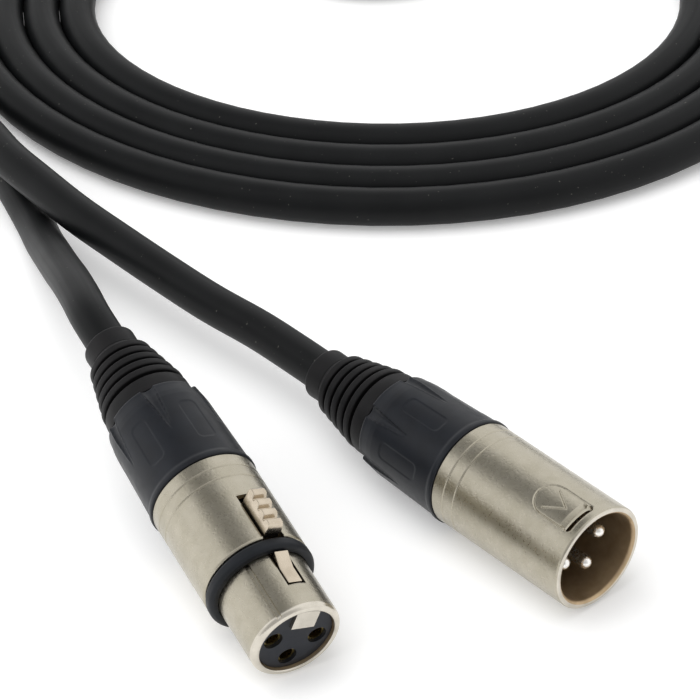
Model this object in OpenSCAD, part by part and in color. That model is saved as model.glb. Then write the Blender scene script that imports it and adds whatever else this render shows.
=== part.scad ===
// Microphone cable wound into a flat doubled coil. One end carries a three-pin plug,
// the other a three-pin socket with a press-to-release latch.
// Each connector is drawn in its own frame: rim at z = 0, body towards +Z,
// latch or latch window towards +Y. A placement module then lays it on the surface.

/* [Cable] */
// Outside diameter of the cable jacket
cable_d = 7.2; // [6.4:0.1:7.6]
// Outside diameter of an insulated conductor
wire_d = 1.5; // [1.2:0.1:1.6]
// Half width of the innermost turn, at its centreline
coil_half_x = 62.8; // [55:0.1:75]
// Half depth of the innermost turn, at its centreline
coil_half_y = 52.1; // [48:0.1:70]
// Space between neighbouring turns
turn_space = 0.05; // [0.05:0.05:1]
// Bend radius where the doubled cable folds back
fold_r = 22; // [18:0.5:23]

/* [Plug] */
// Length of the plug shell
plug_shell_l = 29.8; // [28:0.1:34]
// Inside diameter of the plug cavity
cavity_d = 16.3; // [16.2:0.05:16.6]
// Depth of the plug cavity, from rim to insert
cavity_l = 15.5; // [14:0.1:16.5]
// Diameter of a contact pin
pin_d = 2.4; // [2.3:0.05:2.45]
// Distance from the rim to the pin tips
pin_recess = 3; // [1:0.1:5]
// Width of the latch window
window_w = 6.3; // [5.4:0.1:8]
// Length of the latch window
window_l = 1.5; // [1.3:0.1:2.2]
// Distance from the rim to the latch window
window_from_rim = 1.6; // [1.4:0.1:3]

/* [Socket] */
// Length of the socket shell, nose included
socket_shell_l = 33.9; // [31:0.1:38]
// Diameter of the socket nose
nose_d = 16; // [15.8:0.05:16]
// Length of the nose in front of the seal ring
nose_l = 12.2; // [11.8:0.1:13]
// Diameter of the contact bores
socket_bore_d = 2.5; // [2.45:0.05:2.6]
// Outside diameter of the seal ring
ring_d = 19.1; // [18.8:0.1:20.6]
// Width of the seal ring
ring_w = 2.3; // [2:0.1:3]

/* [Latch] */
// Width of the push tab at its foot
tab_w = 3.2; // [2.6:0.1:3.6]
// Length of the push tab
tab_l = 7.9; // [7.4:0.1:8.6]
// Height of the push tab's last ridge above the shell
tab_h = 2.9; // [2:0.1:3.2]
// Number of grip ridges on the tab
tab_ridges = 4; // [3:1:5]
// Width of the hook
hook_w = 2.6; // [2.4:0.1:3.2]
// Height of the hook above the nose
hook_h = 0.85; // [0.6:0.05:1]
// Diameter of the latch pin
latch_pin_d = 1.2; // [1:0.05:1.3]

/* [Shared by both connectors] */
// Outside diameter of the metal shells
shell_d = 19; // [18.8:0.05:19.3]
// Diameter of the circle that the contacts stand on
contact_circle_d = 8.26; // [8.1:0.02:8.4]
// Length of the threaded bushing behind the shell
bushing_l = 19; // [16:0.1:21]
// Largest diameter of the bushing, at the shell
bushing_d = 19.5; // [19.3:0.05:19.9]
// Length of the rubber boot behind the bushing
boot_l = 18.5; // [16:0.1:22]
// Diameter of the plain band at the front of the boot
boot_band_d = 15.8; // [15.4:0.1:16.4]
// Diameter of the collar at the tip of the boot
boot_tip_d = 9.3; // [8.9:0.1:10]
// Number of ribs on the boot
boot_ribs = 5; // [4:1:7]
// Number of grip flutes round the bushing
bushing_flutes = 6; // [4:1:8]

/* [Lay] */
// How far the socket leans nose down, on the edge of its nose
socket_tilt = 10; // [9:0.5:10.5]
// Turn of the socket about the vertical, away from the plug
socket_yaw = 14.2; // [13:0.2:15]
// Roll of the latch from the top of the socket
socket_roll = 15.5; // [0:0.5:30]
// Roll of the latch window from the top of the plug
plug_roll = 17.5; // [0:0.5:30]

/* [Hidden] */

$fn = 96;

// clearances
eps = 0.01;            // overshoot of a cut past a face
seat_gap = 0.1;        // radial gap of a seated piece
lay_gap = 0.15;        // gap of a piece on the cable
move_gap = 0.3;        // gap between the lever and what it moves beside
fit_gap = 0.05;        // gap round a pressed-in contact, plate or strip
pivot_gap = 0.08;      // radial gap of the lever on its pin

// shells
shell_r = shell_d / 2;
shell_wall = 1.1;
rear_bore_r = shell_r - shell_wall;
fit_r = rear_bore_r - seat_gap;          // what seats in the rear bore
cavity_r = cavity_d / 2;
nose_r = nose_d / 2;
nose_wall = 1.3;
nose_bore_r = nose_r - nose_wall;
edge = 0.5;                              // small rounding of a metal edge
rim_round = 1;                           // rounding of the socket's rim
line_depth = 0.2;                        // turned and engraved lines
line_w = 0.3;
line_from_seam = [2.6, 5];               // turned lines, in front of the shell's rear edge

// contacts, as angles about the axis
contact_r = contact_circle_d / 2;
contact_angles = [0, 180, 270];
guide_angle = 48;                        // of the socket's groove and, mirrored, the plug's rib
contact_od = 3.2;
cup_d = 2.8;
cup_bore_d = 1.9;
cup_l = 3.4;
plug_insert_to = plug_shell_l - 8.2;
plug_cups_to = plug_insert_to + 2.4;
plug_insert_boss = 0.6;                  // raised middle of the plug insert's face
pin_shoulder = cavity_l - plug_insert_boss - fit_gap;

// seal ring
ring_r = ring_d / 2;
ring_from = nose_l;
ring_to = nose_l + ring_w;
ring_edge = 0.8;
ring_fit = 0.02;                         // gap inside the seal ring

// socket insert
face_depth = 0.8;                        // from the rim to the insert's face
flange_l = 2;
insert_step = ring_to + 1.3;             // where the bore widens behind the nose
insert_body_r = 6;
insert_to = socket_shell_l - 5.7;
insert_body_to = insert_to - 5.9;
socket_cups_to = insert_to - 2.4;
channel_floor = 4.1;                     // height of the lever's channel above the axis
key_plate_w = 4.3;
key_plate_low = 2.9;
key_plate_to = 3.4;
ear_w = 1.1;
ear_gap = 5;                             // between the ears that hold the latch pin

// latch lever, heights above the axis
arm_low = 6.1;
arm_top = nose_r - 0.6;
arm_w = hook_w;
hook_to = nose_l - 0.4;
hook_ramp_from = hook_to - 2.75;
hook_from = hook_ramp_from - 3.2;
hook_front_y = nose_r - 0.25;
hook_top = nose_r + hook_h;
tab_from = ring_to + move_gap + 0.35;
tab_to = tab_from + tab_l;
tab_top = shell_r + tab_h;               // crest of the last ridge
tab_first_crest = tab_top - 0.8;
tab_foot = tab_top - 1.8;                // foot of the first ridge
pivot_y = 6.2;
pivot_z = insert_to - 1.6;
eye_r = 1.3;
side_gap = 0.4;                          // free space beside the hook and the tab
end_gap = 0.5;                           // free space in front of the hook
slot_w = tab_w + 2 * side_gap;
slot_to = tab_to + 1.5;
channel_w = hook_w + 2 * side_gap;

// bushing and chuck, from the seam with the shell
spigot_l = 3.5;
bushing_r = bushing_d / 2;
bushing_bore_r = 7.1;
bushing_end_r = boot_band_d / 2 + 0.65;
chuck_flange_l = 1.9;
chuck_from = -spigot_l - seat_gap - chuck_flange_l;
chuck_to = 12;
chuck_slot_w = 1;
chuck_slots = 4;

// boot, from the seam with the shell
boot_neck_l = 4.5;
band_l = 3;
collar_l = 4;
first_rib_r = 7.7;
last_rib_r = 5.8;
rib_depth = 1.05;
groove_share = 0.42;                     // share of a rib's pitch that is groove
boot_end = bushing_l + boot_l;

// jacket and wires inside a connector
seam_to_jacket = -2.4;

// places on the surface, from the middle of the two connectors
plug_x = 22.7;
plug_y = -44.35;
socket_x = -25.7;
socket_y = -25.1;
plug_z = max(shell_r, bushing_r);
socket_z = max(
  (nose_r - rim_round) * cos(socket_tilt) + rim_round - rim_round * sin(socket_tilt),
  (ring_r - ring_edge) * cos(socket_tilt) + ring_edge - (ring_from + ring_edge) * sin(socket_tilt)
);

// coil, in its own frame, then turned and moved
coil_x = 118.2;
coil_y = 116.2;
coil_turn = -42;
turn_pitch = cable_d + turn_space;
half_pitch_angle = 180;                  // a strand moves out by one pitch in half a turn
rings_per_turn = 24;
coil_sides = 6;
coil_step = 360 / rings_per_turn;
first_from = 180;                        // inner strand: from the fold to the socket's lead
first_to = 920;
first_last = 915;                        // its last full step, in line with the other strand's
first_zero = 270;                        // angle at which it lies on the innermost ellipse
second_from = 90;                        // outer strand: from the fold to the plug's lead
second_to = 900;
second_zero = 90;
fold_steps = 8;
fold_back_steps = 14;

// leads, laid by hand from the coil to each boot: x, y and height of the centreline
lead_sides = 10;
wire_sides = 10;
socket_lead_route = [
  [30.5, 131.5, 3.6], [26.5, 120.5, 3.6], [22, 108, 3.6], [18.5, 99, 3.8], [14.5, 91, 5.6],
  [10, 82.5, 9.2], [5, 73.5, 13.6], [0.5, 65, 17.6], [-3.5, 57, 20.3]
];
plug_lead_route = [
  [33, 161, 4.2], [29, 151.5, 5.6], [26.5, 142, 7.5], [25.5, 132.5, 9.5],
  [24, 121.5, 11], [21.5, 110.5, 11.5], [20.5, 100, 11.5], [20, 88, 11], [20.5, 76, 10.3],
  [21, 64, 9.8], [21.5, 52, 9.6], [22.5, 40, 9.7]
];

// ---------- helpers ----------

function arc(c, r, a0, a1, n = 6) =
  [for (i = [0:n]) c + r * [cos(a0 + (a1 - a0) * i / n), sin(a0 + (a1 - a0) * i / n)]];

function unit(v) = v / norm(v);

// turn about X, then Z, as rotate([ax, 0, az]) does
function turn_x(p, a) = [p[0], p[1] * cos(a) - p[2] * sin(a), p[1] * sin(a) + p[2] * cos(a)];
function turn_z(p, a) = [p[0] * cos(a) - p[1] * sin(a), p[0] * sin(a) + p[1] * cos(a), p[2]];

// direction at a point of a route, from its neighbours
function heading(route, i) =
  unit(route[min(i + 1, len(route) - 1)] - route[max(i - 1, 0)]);

// one ring of a tube: a corner towards the direction `top`, the rest evenly round
function tube_ring(c, dir, r, sides, top) =
  let (side = unit(cross(dir, top)), up = cross(side, dir))
  [for (k = [0:sides - 1])
    c + r * (up * cos(360 * k / sides) + side * sin(360 * k / sides))];

// closed tube along a route, faces in triangles
module tube(route, r, sides, top = [0, 0, 1]) {
  n = len(route);
  points = [for (i = [0:n - 1]) each tube_ring(route[i], heading(route, i), r, sides, top)];
  walls = [for (i = [0:n - 2], k = [0:sides - 1])
    let (a = i * sides + k, b = i * sides + (k + 1) % sides, c = a + sides, d = b + sides)
    each [[a, b, d], [a, d, c]]];
  last = (n - 1) * sides;
  caps = [for (k = [1:sides - 2]) each [[0, k + 1, k], [last, last + k, last + k + 1]]];
  polyhedron(points = points, faces = concat(walls, caps), convexity = 10);
}

module at_contacts() {
  for (a = contact_angles)
    rotate([0, 0, a]) translate([contact_r, 0, 0]) children();
}

// thin bowed strip, lying along Z, bulging towards +Y, foot at y = 0
module bow(length, rise, thick, width) {
  r = (length * length / 4 + rise * rise) / (2 * rise);
  rotate([0, -90, 0]) translate([0, 0, -width / 2])
    linear_extrude(width) intersection() {
      translate([0, rise - r]) difference() {
        circle(r);
        circle(r - thick);
      }
      translate([-length, 0]) square([2 * length, rise + eps]);
    }
}

// places of the connectors
module place_plug() {
  translate([plug_x, plug_y, plug_z]) rotate([90, 0, 180]) rotate([0, 0, -plug_roll]) children();
}

module place_socket() {
  translate([socket_x, socket_y, socket_z]) rotate([90, 0, 180 - socket_yaw])
    rotate([-socket_tilt, 0, 0]) rotate([0, 0, socket_roll]) children();
}

// a point on a connector's axis, as the two modules above place it
function on_plug(z) = [plug_x, plug_y + z, plug_z];
function on_socket(z) =
  [socket_x, socket_y, socket_z]
  + turn_z(turn_x(turn_x([0, 0, z], -socket_tilt), 90), 180 - socket_yaw);

// ---------- shells ----------

// turned lines near the rear edge of a shell
module turned_lines(seam) {
  for (back = line_from_seam)
    translate([0, 0, seam - back - line_w / 2]) difference() {
      cylinder(r = shell_r + 1, h = line_w);
      translate([0, 0, -eps]) cylinder(r = shell_r - line_depth, h = line_w + 2 * eps);
    }
}

// outline of the latch panel: straight sides and a round back
module panel(w, from, to) {
  r = w / 2;
  translate([-r, from]) square([w, to - from - r]);
  translate([0, to - r]) circle(r);
}

module engrave(depth) {
  difference() {
    rotate([90, 0, 0]) mirror([0, 0, 1]) linear_extrude(shell_r + 1) children();
    translate([0, 0, -1]) cylinder(r = shell_r - depth, h = plug_shell_l);
  }
}

module plug_shell() {
  inner_edge = 0.4;
  panel_to = window_from_rim + window_l + 8.3;
  mark_l = 4.2;
  mark_turn = 30;
  bevel = 0.8;
  rib_w = 0.5;
  rib_h = 0.35;
  rib_from = 2;
  color("#b8b2a6") place_plug() {
    difference() {
      rotate_extrude() polygon(concat(
        arc([shell_r - edge, edge], edge, 0, -90),
        arc([cavity_r + inner_edge, inner_edge], inner_edge, -90, -180),
        [[cavity_r, cavity_l], [rear_bore_r, cavity_l], [rear_bore_r, plug_shell_l],
         [shell_r - line_depth, plug_shell_l], [shell_r, plug_shell_l - line_depth]]
      ));
      turned_lines(plug_shell_l);
      // latch window
      translate([-window_w / 2 + window_l / 2, 0, window_from_rim])
        cube([window_w - window_l, shell_r + 1, window_l]);
      for (side = [-1, 1])
        translate([side * (window_w - window_l) / 2, 0, window_from_rim + window_l / 2])
          rotate([-90, 0, 0]) cylinder(d = window_l, h = shell_r + 1, $fn = 24);
      // bevel along the rear edge of the window
      translate([-window_w / 2 + 0.3, cavity_r + 0.5, window_from_rim + window_l / 2])
        rotate([90, 0, 90]) linear_extrude(window_w - 0.6)
          polygon([[0, 0], [2, 0], [2, window_l / 2 + bevel + 0.35], [1, window_l / 2 + bevel],
                   [0, window_l / 2]]);
      // panel line behind the window, with a plain arrowhead
      engrave(line_depth) difference() {
        panel(window_w, window_from_rim + window_l, panel_to);
        panel(window_w - 2 * line_w, window_from_rim, panel_to - line_w);
      }
      engrave(line_depth) for (side = [-1, 1])
        translate([0, window_from_rim + window_l + 1.8])
          rotate(side * mark_turn) translate([-line_w / 2, 0]) square([line_w, mark_l]);
    }
    // guide rib inside the cavity
    rotate([0, 0, 180 - guide_angle]) translate([cavity_r - rib_h, -rib_w / 2, rib_from])
      cube([rib_h + 0.4, rib_w, cavity_l - rib_from - fit_gap]);
  }
}

module socket_shell() {
  groove_w = 0.7;
  groove_depth = 0.4;
  shoulder = ring_to + 0.1;
  chamfer = 0.5;
  color("#b8b2a6") place_socket() difference() {
    rotate_extrude() polygon(concat(
      [[shell_r, shoulder + chamfer], [shell_r - chamfer, shoulder], [nose_r, shoulder]],
      arc([nose_r - rim_round, rim_round], rim_round, 0, -90),
      [[nose_bore_r, edge / 2], [nose_bore_r, insert_step], [rear_bore_r, insert_step],
       [rear_bore_r, socket_shell_l], [shell_r - line_depth, socket_shell_l],
       [shell_r, socket_shell_l - line_depth]]
    ));
    turned_lines(socket_shell_l);
    // window for the hook, running on under the seal ring
    translate([-channel_w / 2, 0, hook_from - end_gap])
      cube([channel_w, shell_r, ring_to - hook_from + end_gap + 1]);
    // slot for the push tab
    translate([-slot_w / 2, 0, ring_to])
      cube([slot_w, shell_r + 1, slot_to - ring_to]);
    // guide groove along the nose
    rotate([0, 0, guide_angle]) translate([nose_r - groove_depth, -groove_w / 2, -1])
      cube([2, groove_w, nose_l + 1]);
  }
}

module seal_ring() {
  c = [[nose_r + ring_edge, ring_from + ring_edge], [nose_r + ring_edge, ring_to - ring_edge],
       [ring_r - ring_edge, ring_to - ring_edge], [ring_r - ring_edge, ring_from + ring_edge]];
  small = 0.2;
  color("#1d2126") place_socket() rotate_extrude() polygon(concat(
    arc([nose_r + ring_fit + small, ring_from + small], small, 270, 180, 3),
    arc([nose_r + ring_fit + small, ring_to - small], small, 180, 90, 3),
    arc(c[2], ring_edge, 90, 0),
    arc(c[3], ring_edge, 0, -90)
  ));
}

// ---------- inserts and contacts ----------

module plug_insert() {
  body_r = 6.6;
  thick = 3;
  notch_w = 3.2;
  notch_floor = fit_r - 1.1;
  color("#17181a") place_plug() difference() {
    union() {
      translate([0, 0, cavity_l]) cylinder(r = fit_r, h = thick);
      translate([0, 0, cavity_l - plug_insert_boss])
        cylinder(r = cavity_r - 1.4, h = plug_insert_boss + eps);
      translate([0, 0, cavity_l + thick - eps])
        cylinder(r = body_r, h = plug_insert_to - cavity_l - thick);
    }
    at_contacts() translate([0, 0, cavity_l - 1])
      cylinder(d = cup_d + 2 * fit_gap, h = plug_insert_to);
    translate([-notch_w / 2, notch_floor, cavity_l - 1]) cube([notch_w, 3, thick + 2]);
  }
}

module solder_cup(from, length) {
  difference() {
    translate([0, 0, from]) cylinder(d = cup_d, h = length);
    translate([0, 0, from + length - cup_l]) cylinder(d = cup_bore_d, h = cup_l + 1);
    // the half of the cup that faces the axis is open
    translate([-2 - 0.2, -2, from + length - cup_l + 1]) cube([2, 4, cup_l]);
  }
}

module contact_pins() {
  color("#d9d9d6") place_plug() at_contacts() {
    translate([0, 0, pin_recess + pin_d / 2]) {
      sphere(d = pin_d, $fn = 48);
      cylinder(d = pin_d, h = pin_shoulder - pin_recess - pin_d / 2 + eps);
    }
    solder_cup(pin_shoulder, plug_cups_to - pin_shoulder);
  }
}

module ground_spring() {
  // bowed strip in the insert's notch, pressing on the shell
  strip_w = 2.8;
  strip_l = 2.6;
  thick = 0.25;
  notch_floor = fit_r - 1.1;
  rise = sqrt(rear_bore_r * rear_bore_r - strip_w * strip_w / 4) - notch_floor - 0.1;
  color("#c9c6bf") place_plug()
    translate([0, notch_floor + 0.05, cavity_l + 1.5]) bow(strip_l, rise, thick, strip_w);
}

module socket_insert() {
  shelf_w = ear_gap + 2 * ear_w;
  ear_top = 7.2;
  ear_from = pivot_z - 1.7;
  body_from = insert_step + seat_gap;
  color("#22262b") place_socket() difference() {
    union() {
      translate([0, 0, face_depth])
        cylinder(r = nose_bore_r - seat_gap, h = body_from - face_depth + eps);
      translate([0, 0, body_from]) cylinder(r = fit_r, h = flange_l);
      translate([0, 0, body_from + flange_l - eps])
        cylinder(r = insert_body_r, h = insert_body_to - body_from - flange_l);
      // shelf under the lever, with an ear at each side of it
      translate([-shelf_w / 2, channel_floor - 1, insert_body_to - 1])
        cube([shelf_w, 1, insert_to - insert_body_to + 1]);
      for (side = [-1, 1])
        translate([side * (shelf_w - ear_w) / 2 - ear_w / 2, channel_floor - 1, ear_from])
          cube([ear_w, ear_top - channel_floor + 1, insert_to - ear_from]);
    }
    // channel for the lever
    translate([-channel_w / 2, channel_floor, hook_from - end_gap])
      cube([channel_w, 10, body_from - hook_from + end_gap]);
    translate([-slot_w / 2, channel_floor, ring_to])
      cube([slot_w, 10, ear_from - ring_to]);
    translate([-ear_gap / 2, channel_floor, ear_from - 1]) cube([ear_gap, 10, insert_to]);
    // pocket for the key plate
    translate([-key_plate_w / 2 - fit_gap, key_plate_low - fit_gap, -1])
      cube([key_plate_w + 2 * fit_gap, 6, key_plate_to + fit_gap + 1]);
    // contact bores, straight from the face to the rear
    at_contacts() cylinder(d = contact_od + 2 * fit_gap, h = insert_to);
    // pin holes in the ears
    translate([-10, pivot_y, pivot_z]) rotate([0, 90, 0])
      cylinder(d = latch_pin_d + 0.02, h = 20, $fn = 32);
  }
}

module key_plate() {
  front = 0.15;
  color("#c9c3b6") place_socket() intersection() {
    translate([-key_plate_w / 2, key_plate_low, front])
      cube([key_plate_w, 6, key_plate_to - front]);
    cylinder(r = nose_bore_r - fit_gap, h = 10);
  }
}

module contact_sockets() {
  from = face_depth + 0.65;
  bore_to = 15;
  body_to = insert_body_to - 3;
  color("#a08a55") place_socket() at_contacts() difference() {
    union() {
      translate([0, 0, from]) cylinder(d = contact_od, h = body_to - from);
      solder_cup(body_to - eps, socket_cups_to - body_to);
    }
    translate([0, 0, from - 1]) cylinder(d = socket_bore_d, h = bore_to - from + 1);
  }
}

// ---------- latch ----------

module latch_lever() {
  pitch = tab_l / (tab_ridges - 0.15);
  front_l = pitch * 0.3;
  draft = 0.35;
  eye_w = ear_gap - 2 * move_gap;
  // foot and crest of each ridge, both climbing towards the rear
  ridges = [for (i = [0:tab_ridges - 1])
    let (along = i / (tab_ridges - 1), z = tab_from + i * pitch)
    each [[z, tab_foot + along * (tab_top - 0.3 - tab_foot)],
          [z + front_l, tab_first_crest + along * (tab_top - tab_first_crest)]]];
  color("#cbc2b0") place_socket() difference() {
    union() {
      // arm and hook, side view in Z and Y
      translate([arm_w / 2, 0, 0]) rotate([0, -90, 0]) linear_extrude(arm_w)
        polygon([[hook_from, arm_low], [hook_from, hook_front_y - 0.2],
                 [hook_from + 0.2, hook_front_y], [hook_ramp_from, hook_front_y],
                 [hook_to, hook_top], [hook_to, arm_top], [pivot_z, arm_top],
                 [pivot_z, arm_low]]);
      // push tab, narrower towards its ridges
      intersection() {
        translate([tab_w / 2, 0, 0]) rotate([0, -90, 0]) linear_extrude(tab_w)
          polygon(concat([[tab_from, arm_low + 0.2]], ridges,
            [[tab_to, tab_top - 0.4], [tab_to, arm_low + 0.2]]));
        translate([0, 0, tab_from - 1]) linear_extrude(tab_l + 2)
          polygon([[-tab_w / 2, arm_low], [tab_w / 2, arm_low], [tab_w / 2, shell_r],
                   [tab_w / 2 - draft, tab_top + 0.1], [-tab_w / 2 + draft, tab_top + 0.1],
                   [-tab_w / 2, shell_r]]);
      }
      // eye round the pin
      translate([-eye_w / 2, pivot_y, pivot_z]) rotate([0, 90, 0])
        cylinder(r = eye_r, h = eye_w, $fn = 48);
    }
    translate([-10, pivot_y, pivot_z]) rotate([0, 90, 0])
      cylinder(d = latch_pin_d + 2 * pivot_gap, h = 20, $fn = 48);
  }
}

module latch_pin() {
  pin_l = ear_gap + 2 * ear_w - 0.1;
  color("#8d8f90") place_socket() translate([-pin_l / 2, pivot_y, pivot_z]) rotate([0, 90, 0])
    cylinder(d = latch_pin_d, h = pin_l, $fn = 48);
}

module latch_spring() {
  spring_l = 5.2;
  spring_w = 2.2;
  thick = 0.25;
  spring_mid = insert_body_to - 2;
  rise = arm_low - channel_floor - 2 * fit_gap;
  color("#8d8f90") place_socket()
    translate([0, channel_floor + fit_gap, spring_mid]) bow(spring_l, rise, thick, spring_w);
}

// ---------- bushing, chuck, boot ----------

// all of these start at the seam between shell and bushing
module bushing() {
  flute_r = 1.6;
  flute_depth = 0.6;
  flute_l = 9.5;
  flare = 0.8;
  mid_r = bushing_r - 0.25;
  back_r = mid_r - 0.45;
  pad_w = 3;
  pad_from = 4.5;
  pad_to = 11.5;
  pad_depth = 0.15;
  lean = atan2(mid_r - bushing_end_r + flute_depth, flute_l);
  difference() {
    rotate_extrude() polygon(concat(
      [[bushing_bore_r, -spigot_l], [fit_r, -spigot_l], [fit_r, 0], [bushing_r - 0.3, 0.02]],
      [[bushing_r, 0.35], [bushing_r, flare], [mid_r, 2 * flare]],
      [[back_r, bushing_l - 3.4], [back_r - 0.2, bushing_l - 2.2],
       [bushing_end_r + 0.15, bushing_l - 0.8]],
      arc([bushing_end_r - 0.3, bushing_l - 0.3], 0.3, 0, 90, 3),
      [[bushing_bore_r, bushing_l]]
    ));
    for (i = [0:bushing_flutes - 1]) {
      rotate([0, 0, 360 * i / bushing_flutes])
        translate([bushing_end_r - flute_depth + flute_r, 0, bushing_l + 0.5])
          rotate([180, -lean, 0]) cylinder(r = flute_r, h = flute_l + 4, $fn = 32);
      rotate([0, 0, 360 * (i + 0.5) / bushing_flutes]) difference() {
        union() {
          translate([0, -pad_w / 2, pad_from + pad_w / 2])
            cube([bushing_r + 1, pad_w, pad_to - pad_from - pad_w / 2]);
          translate([0, 0, pad_from + pad_w / 2]) rotate([0, 90, 0])
            cylinder(d = pad_w, h = bushing_r + 1, $fn = 32);
        }
        cylinder(r1 = mid_r - pad_depth + 0.02, r2 = back_r - pad_depth + 0.02,
                 h = bushing_l - 3.4);
      }
    }
  }
}

module chuck() {
  body_r = bushing_bore_r - seat_gap;
  tip_r = body_r - 0.9;
  bore_r = cable_d / 2 + lay_gap;
  mouth_r = 5.9;
  difference() {
    rotate_extrude() polygon([
      [bore_r, seam_to_jacket], [mouth_r, chuck_from], [fit_r - seat_gap, chuck_from],
      [fit_r - seat_gap, chuck_from + chuck_flange_l], [body_r, chuck_from + chuck_flange_l],
      [body_r, chuck_to - 2], [tip_r, chuck_to], [bore_r, chuck_to]
    ]);
    for (i = [0:chuck_slots - 1])
      rotate([0, 0, 45 + 360 * i / chuck_slots])
        translate([0, -chuck_slot_w / 2, 1]) cube([10, chuck_slot_w, chuck_to]);
  }
}

module boot() {
  bore_r = cable_d / 2 + lay_gap;
  neck_r = bushing_bore_r - seat_gap;
  band_r = boot_band_d / 2;
  ribs_from = bushing_l + band_l;
  ribs_to = boot_end - collar_l;
  pitch = (ribs_to - ribs_from) / boot_ribs;
  groove = pitch * groove_share;
  tip_r = boot_tip_d / 2;
  tip_round = 0.6;
  crest = 0.22;
  rotate_extrude() polygon(concat(
    [[bore_r, bushing_l - boot_neck_l], [neck_r, bushing_l - boot_neck_l],
     [neck_r, bushing_l], [band_r - 0.15, bushing_l], [band_r, bushing_l + 0.3],
     [band_r - 0.05, ribs_from]],
    [for (i = [0:boot_ribs - 1])
      let (r = first_rib_r + (last_rib_r - first_rib_r) * i / (boot_ribs - 1),
           z = ribs_from + i * pitch)
      each [[r - rib_depth, z + 0.12], [r - rib_depth, z + groove - 0.12],
            [r - crest, z + groove], [r, z + groove + crest],
            [r - 0.05, z + pitch - crest], [r - 2 * crest, z + pitch]]],
    [[tip_r - 0.25, ribs_to + 0.15], [tip_r, ribs_to + 0.6]],
    arc([tip_r - tip_round, boot_end - tip_round], tip_round, 0, 90, 4),
    [[bore_r, boot_end]]
  ));
}

module plug_bushing() {
  color("#1b1c20") place_plug() translate([0, 0, plug_shell_l]) bushing();
}

module socket_bushing() {
  color("#1b1c20") place_socket() translate([0, 0, socket_shell_l]) bushing();
}

module plug_chuck() {
  color("#e4e2dc") place_plug() translate([0, 0, plug_shell_l]) chuck();
}

module socket_chuck() {
  color("#e4e2dc") place_socket() translate([0, 0, socket_shell_l]) chuck();
}

module plug_boot() {
  color("#242426") place_plug() translate([0, 0, plug_shell_l]) boot();
}

module socket_boot() {
  color("#242426") place_socket() translate([0, 0, socket_shell_l]) boot();
}

// ---------- cable inside the connectors ----------

module cable_end(seam) {
  translate([0, 0, seam + seam_to_jacket])
    cylinder(d = cable_d, h = boot_end - seam_to_jacket);
}

// two insulated conductors and the twisted shield, from the cups to the jacket
module wires(seam, cups_to) {
  lay_r = wire_d * 0.75;
  jacket = seam + seam_to_jacket;
  bend_l = 0.6;
  for (a = contact_angles) {
    dir = [cos(a), sin(a), 0];
    tube([
      contact_r * dir + [0, 0, cups_to - cup_l + 0.3],
      contact_r * dir + [0, 0, cups_to],
      (contact_r - 0.2) * dir + [0, 0, cups_to + bend_l],
      (lay_r + 0.25) * dir + [0, 0, jacket - 2 * bend_l],
      lay_r * dir + [0, 0, jacket - 0.9 * bend_l],
      lay_r * dir + [0, 0, jacket]
    ], wire_d / 2, wire_sides, [1, 0, 0]);
  }
}

module plug_cable_end() {
  color("#1c1c1d") place_plug() cable_end(plug_shell_l);
}

module socket_cable_end() {
  color("#1c1c1d") place_socket() cable_end(socket_shell_l);
}

module plug_wires() {
  color("#b9472f") place_plug() wires(plug_shell_l, plug_cups_to);
}

module socket_wires() {
  color("#b9472f") place_socket() wires(socket_shell_l, socket_cups_to);
}

// ---------- the cable itself ----------

// a strand's point: an ellipse that widens by one pitch in half a turn
function strand(angle, zero) =
  let (out = turn_pitch * (angle - zero) / half_pitch_angle)
  [(coil_half_x + out) * cos(angle), (coil_half_y + out) * sin(angle), cable_d / 2];

// the fold joins both strands: a bend inwards, then a wide bend back
inner_end = strand(first_from, first_zero);
back_end = strand(second_from, second_zero);
back_c = [back_end[0], back_end[1] - fold_r];
reach_x = back_c[0] - inner_end[0];
reach_y = back_c[1] - inner_end[1];
bend_r = (reach_x * reach_x + reach_y * reach_y - fold_r * fold_r) / (2 * (reach_x + fold_r));
bend_c = [inner_end[0] + bend_r, inner_end[1]];
meet = atan2(back_c[1] - bend_c[1], back_c[0] - bend_c[0]);
fold_in = [for (i = [1:fold_steps])
  let (a = 180 - (180 - meet) * i / fold_steps)
  [bend_c[0] + bend_r * cos(a), bend_c[1] + bend_r * sin(a), cable_d / 2]];
fold_back = [for (i = [1:fold_back_steps - 1])
  let (a = 180 + meet + (270 - meet) * i / fold_back_steps)
  [back_c[0] + fold_r * cos(a), back_c[1] + fold_r * sin(a), cable_d / 2]];

first_strand = concat([strand(first_to, first_zero)],
  [for (a = [first_last:-coil_step:first_from + 1]) strand(a, first_zero)]);
second_strand = [for (a = [second_from:coil_step:second_to]) strand(a, second_zero)];
wound = concat(first_strand, [inner_end], fold_in, fold_back, second_strand);

// each end of the wound cable runs straight for one cable diameter
first_way = unit(strand(first_to, first_zero) - strand(first_to - 2, first_zero));
second_way = unit(strand(second_to, second_zero) - strand(second_to - 2, second_zero));
first_stub = wound[0] + cable_d * first_way;
second_stub = wound[len(wound) - 1] + cable_d * second_way;
coil_route = concat([first_stub], wound, [second_stub]);

function on_surface(p) = turn_z(p, coil_turn) + [coil_x, coil_y, 0];

// least gap of the tube to itself, flat to flat, between rings that are not neighbours
flats = cable_d * cos(180 / coil_sides);
gap_steps = 5;
coil_gap = min([for (i = [0:len(coil_route) - 1], j = [i + gap_steps:1:len(coil_route) - 2])
  let (a = coil_route[j], b = coil_route[j + 1], p = coil_route[i],
       t = max(0, min(1, (p - a) * (b - a) / ((b - a) * (b - a)))))
  norm(p - a - t * (b - a))]) - flats;
echo(least_gap_of_coil_to_itself = coil_gap);

function length_of(route, i = 0) =
  i >= len(route) - 1 ? 0 : norm(route[i + 1] - route[i]) + length_of(route, i + 1);

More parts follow.
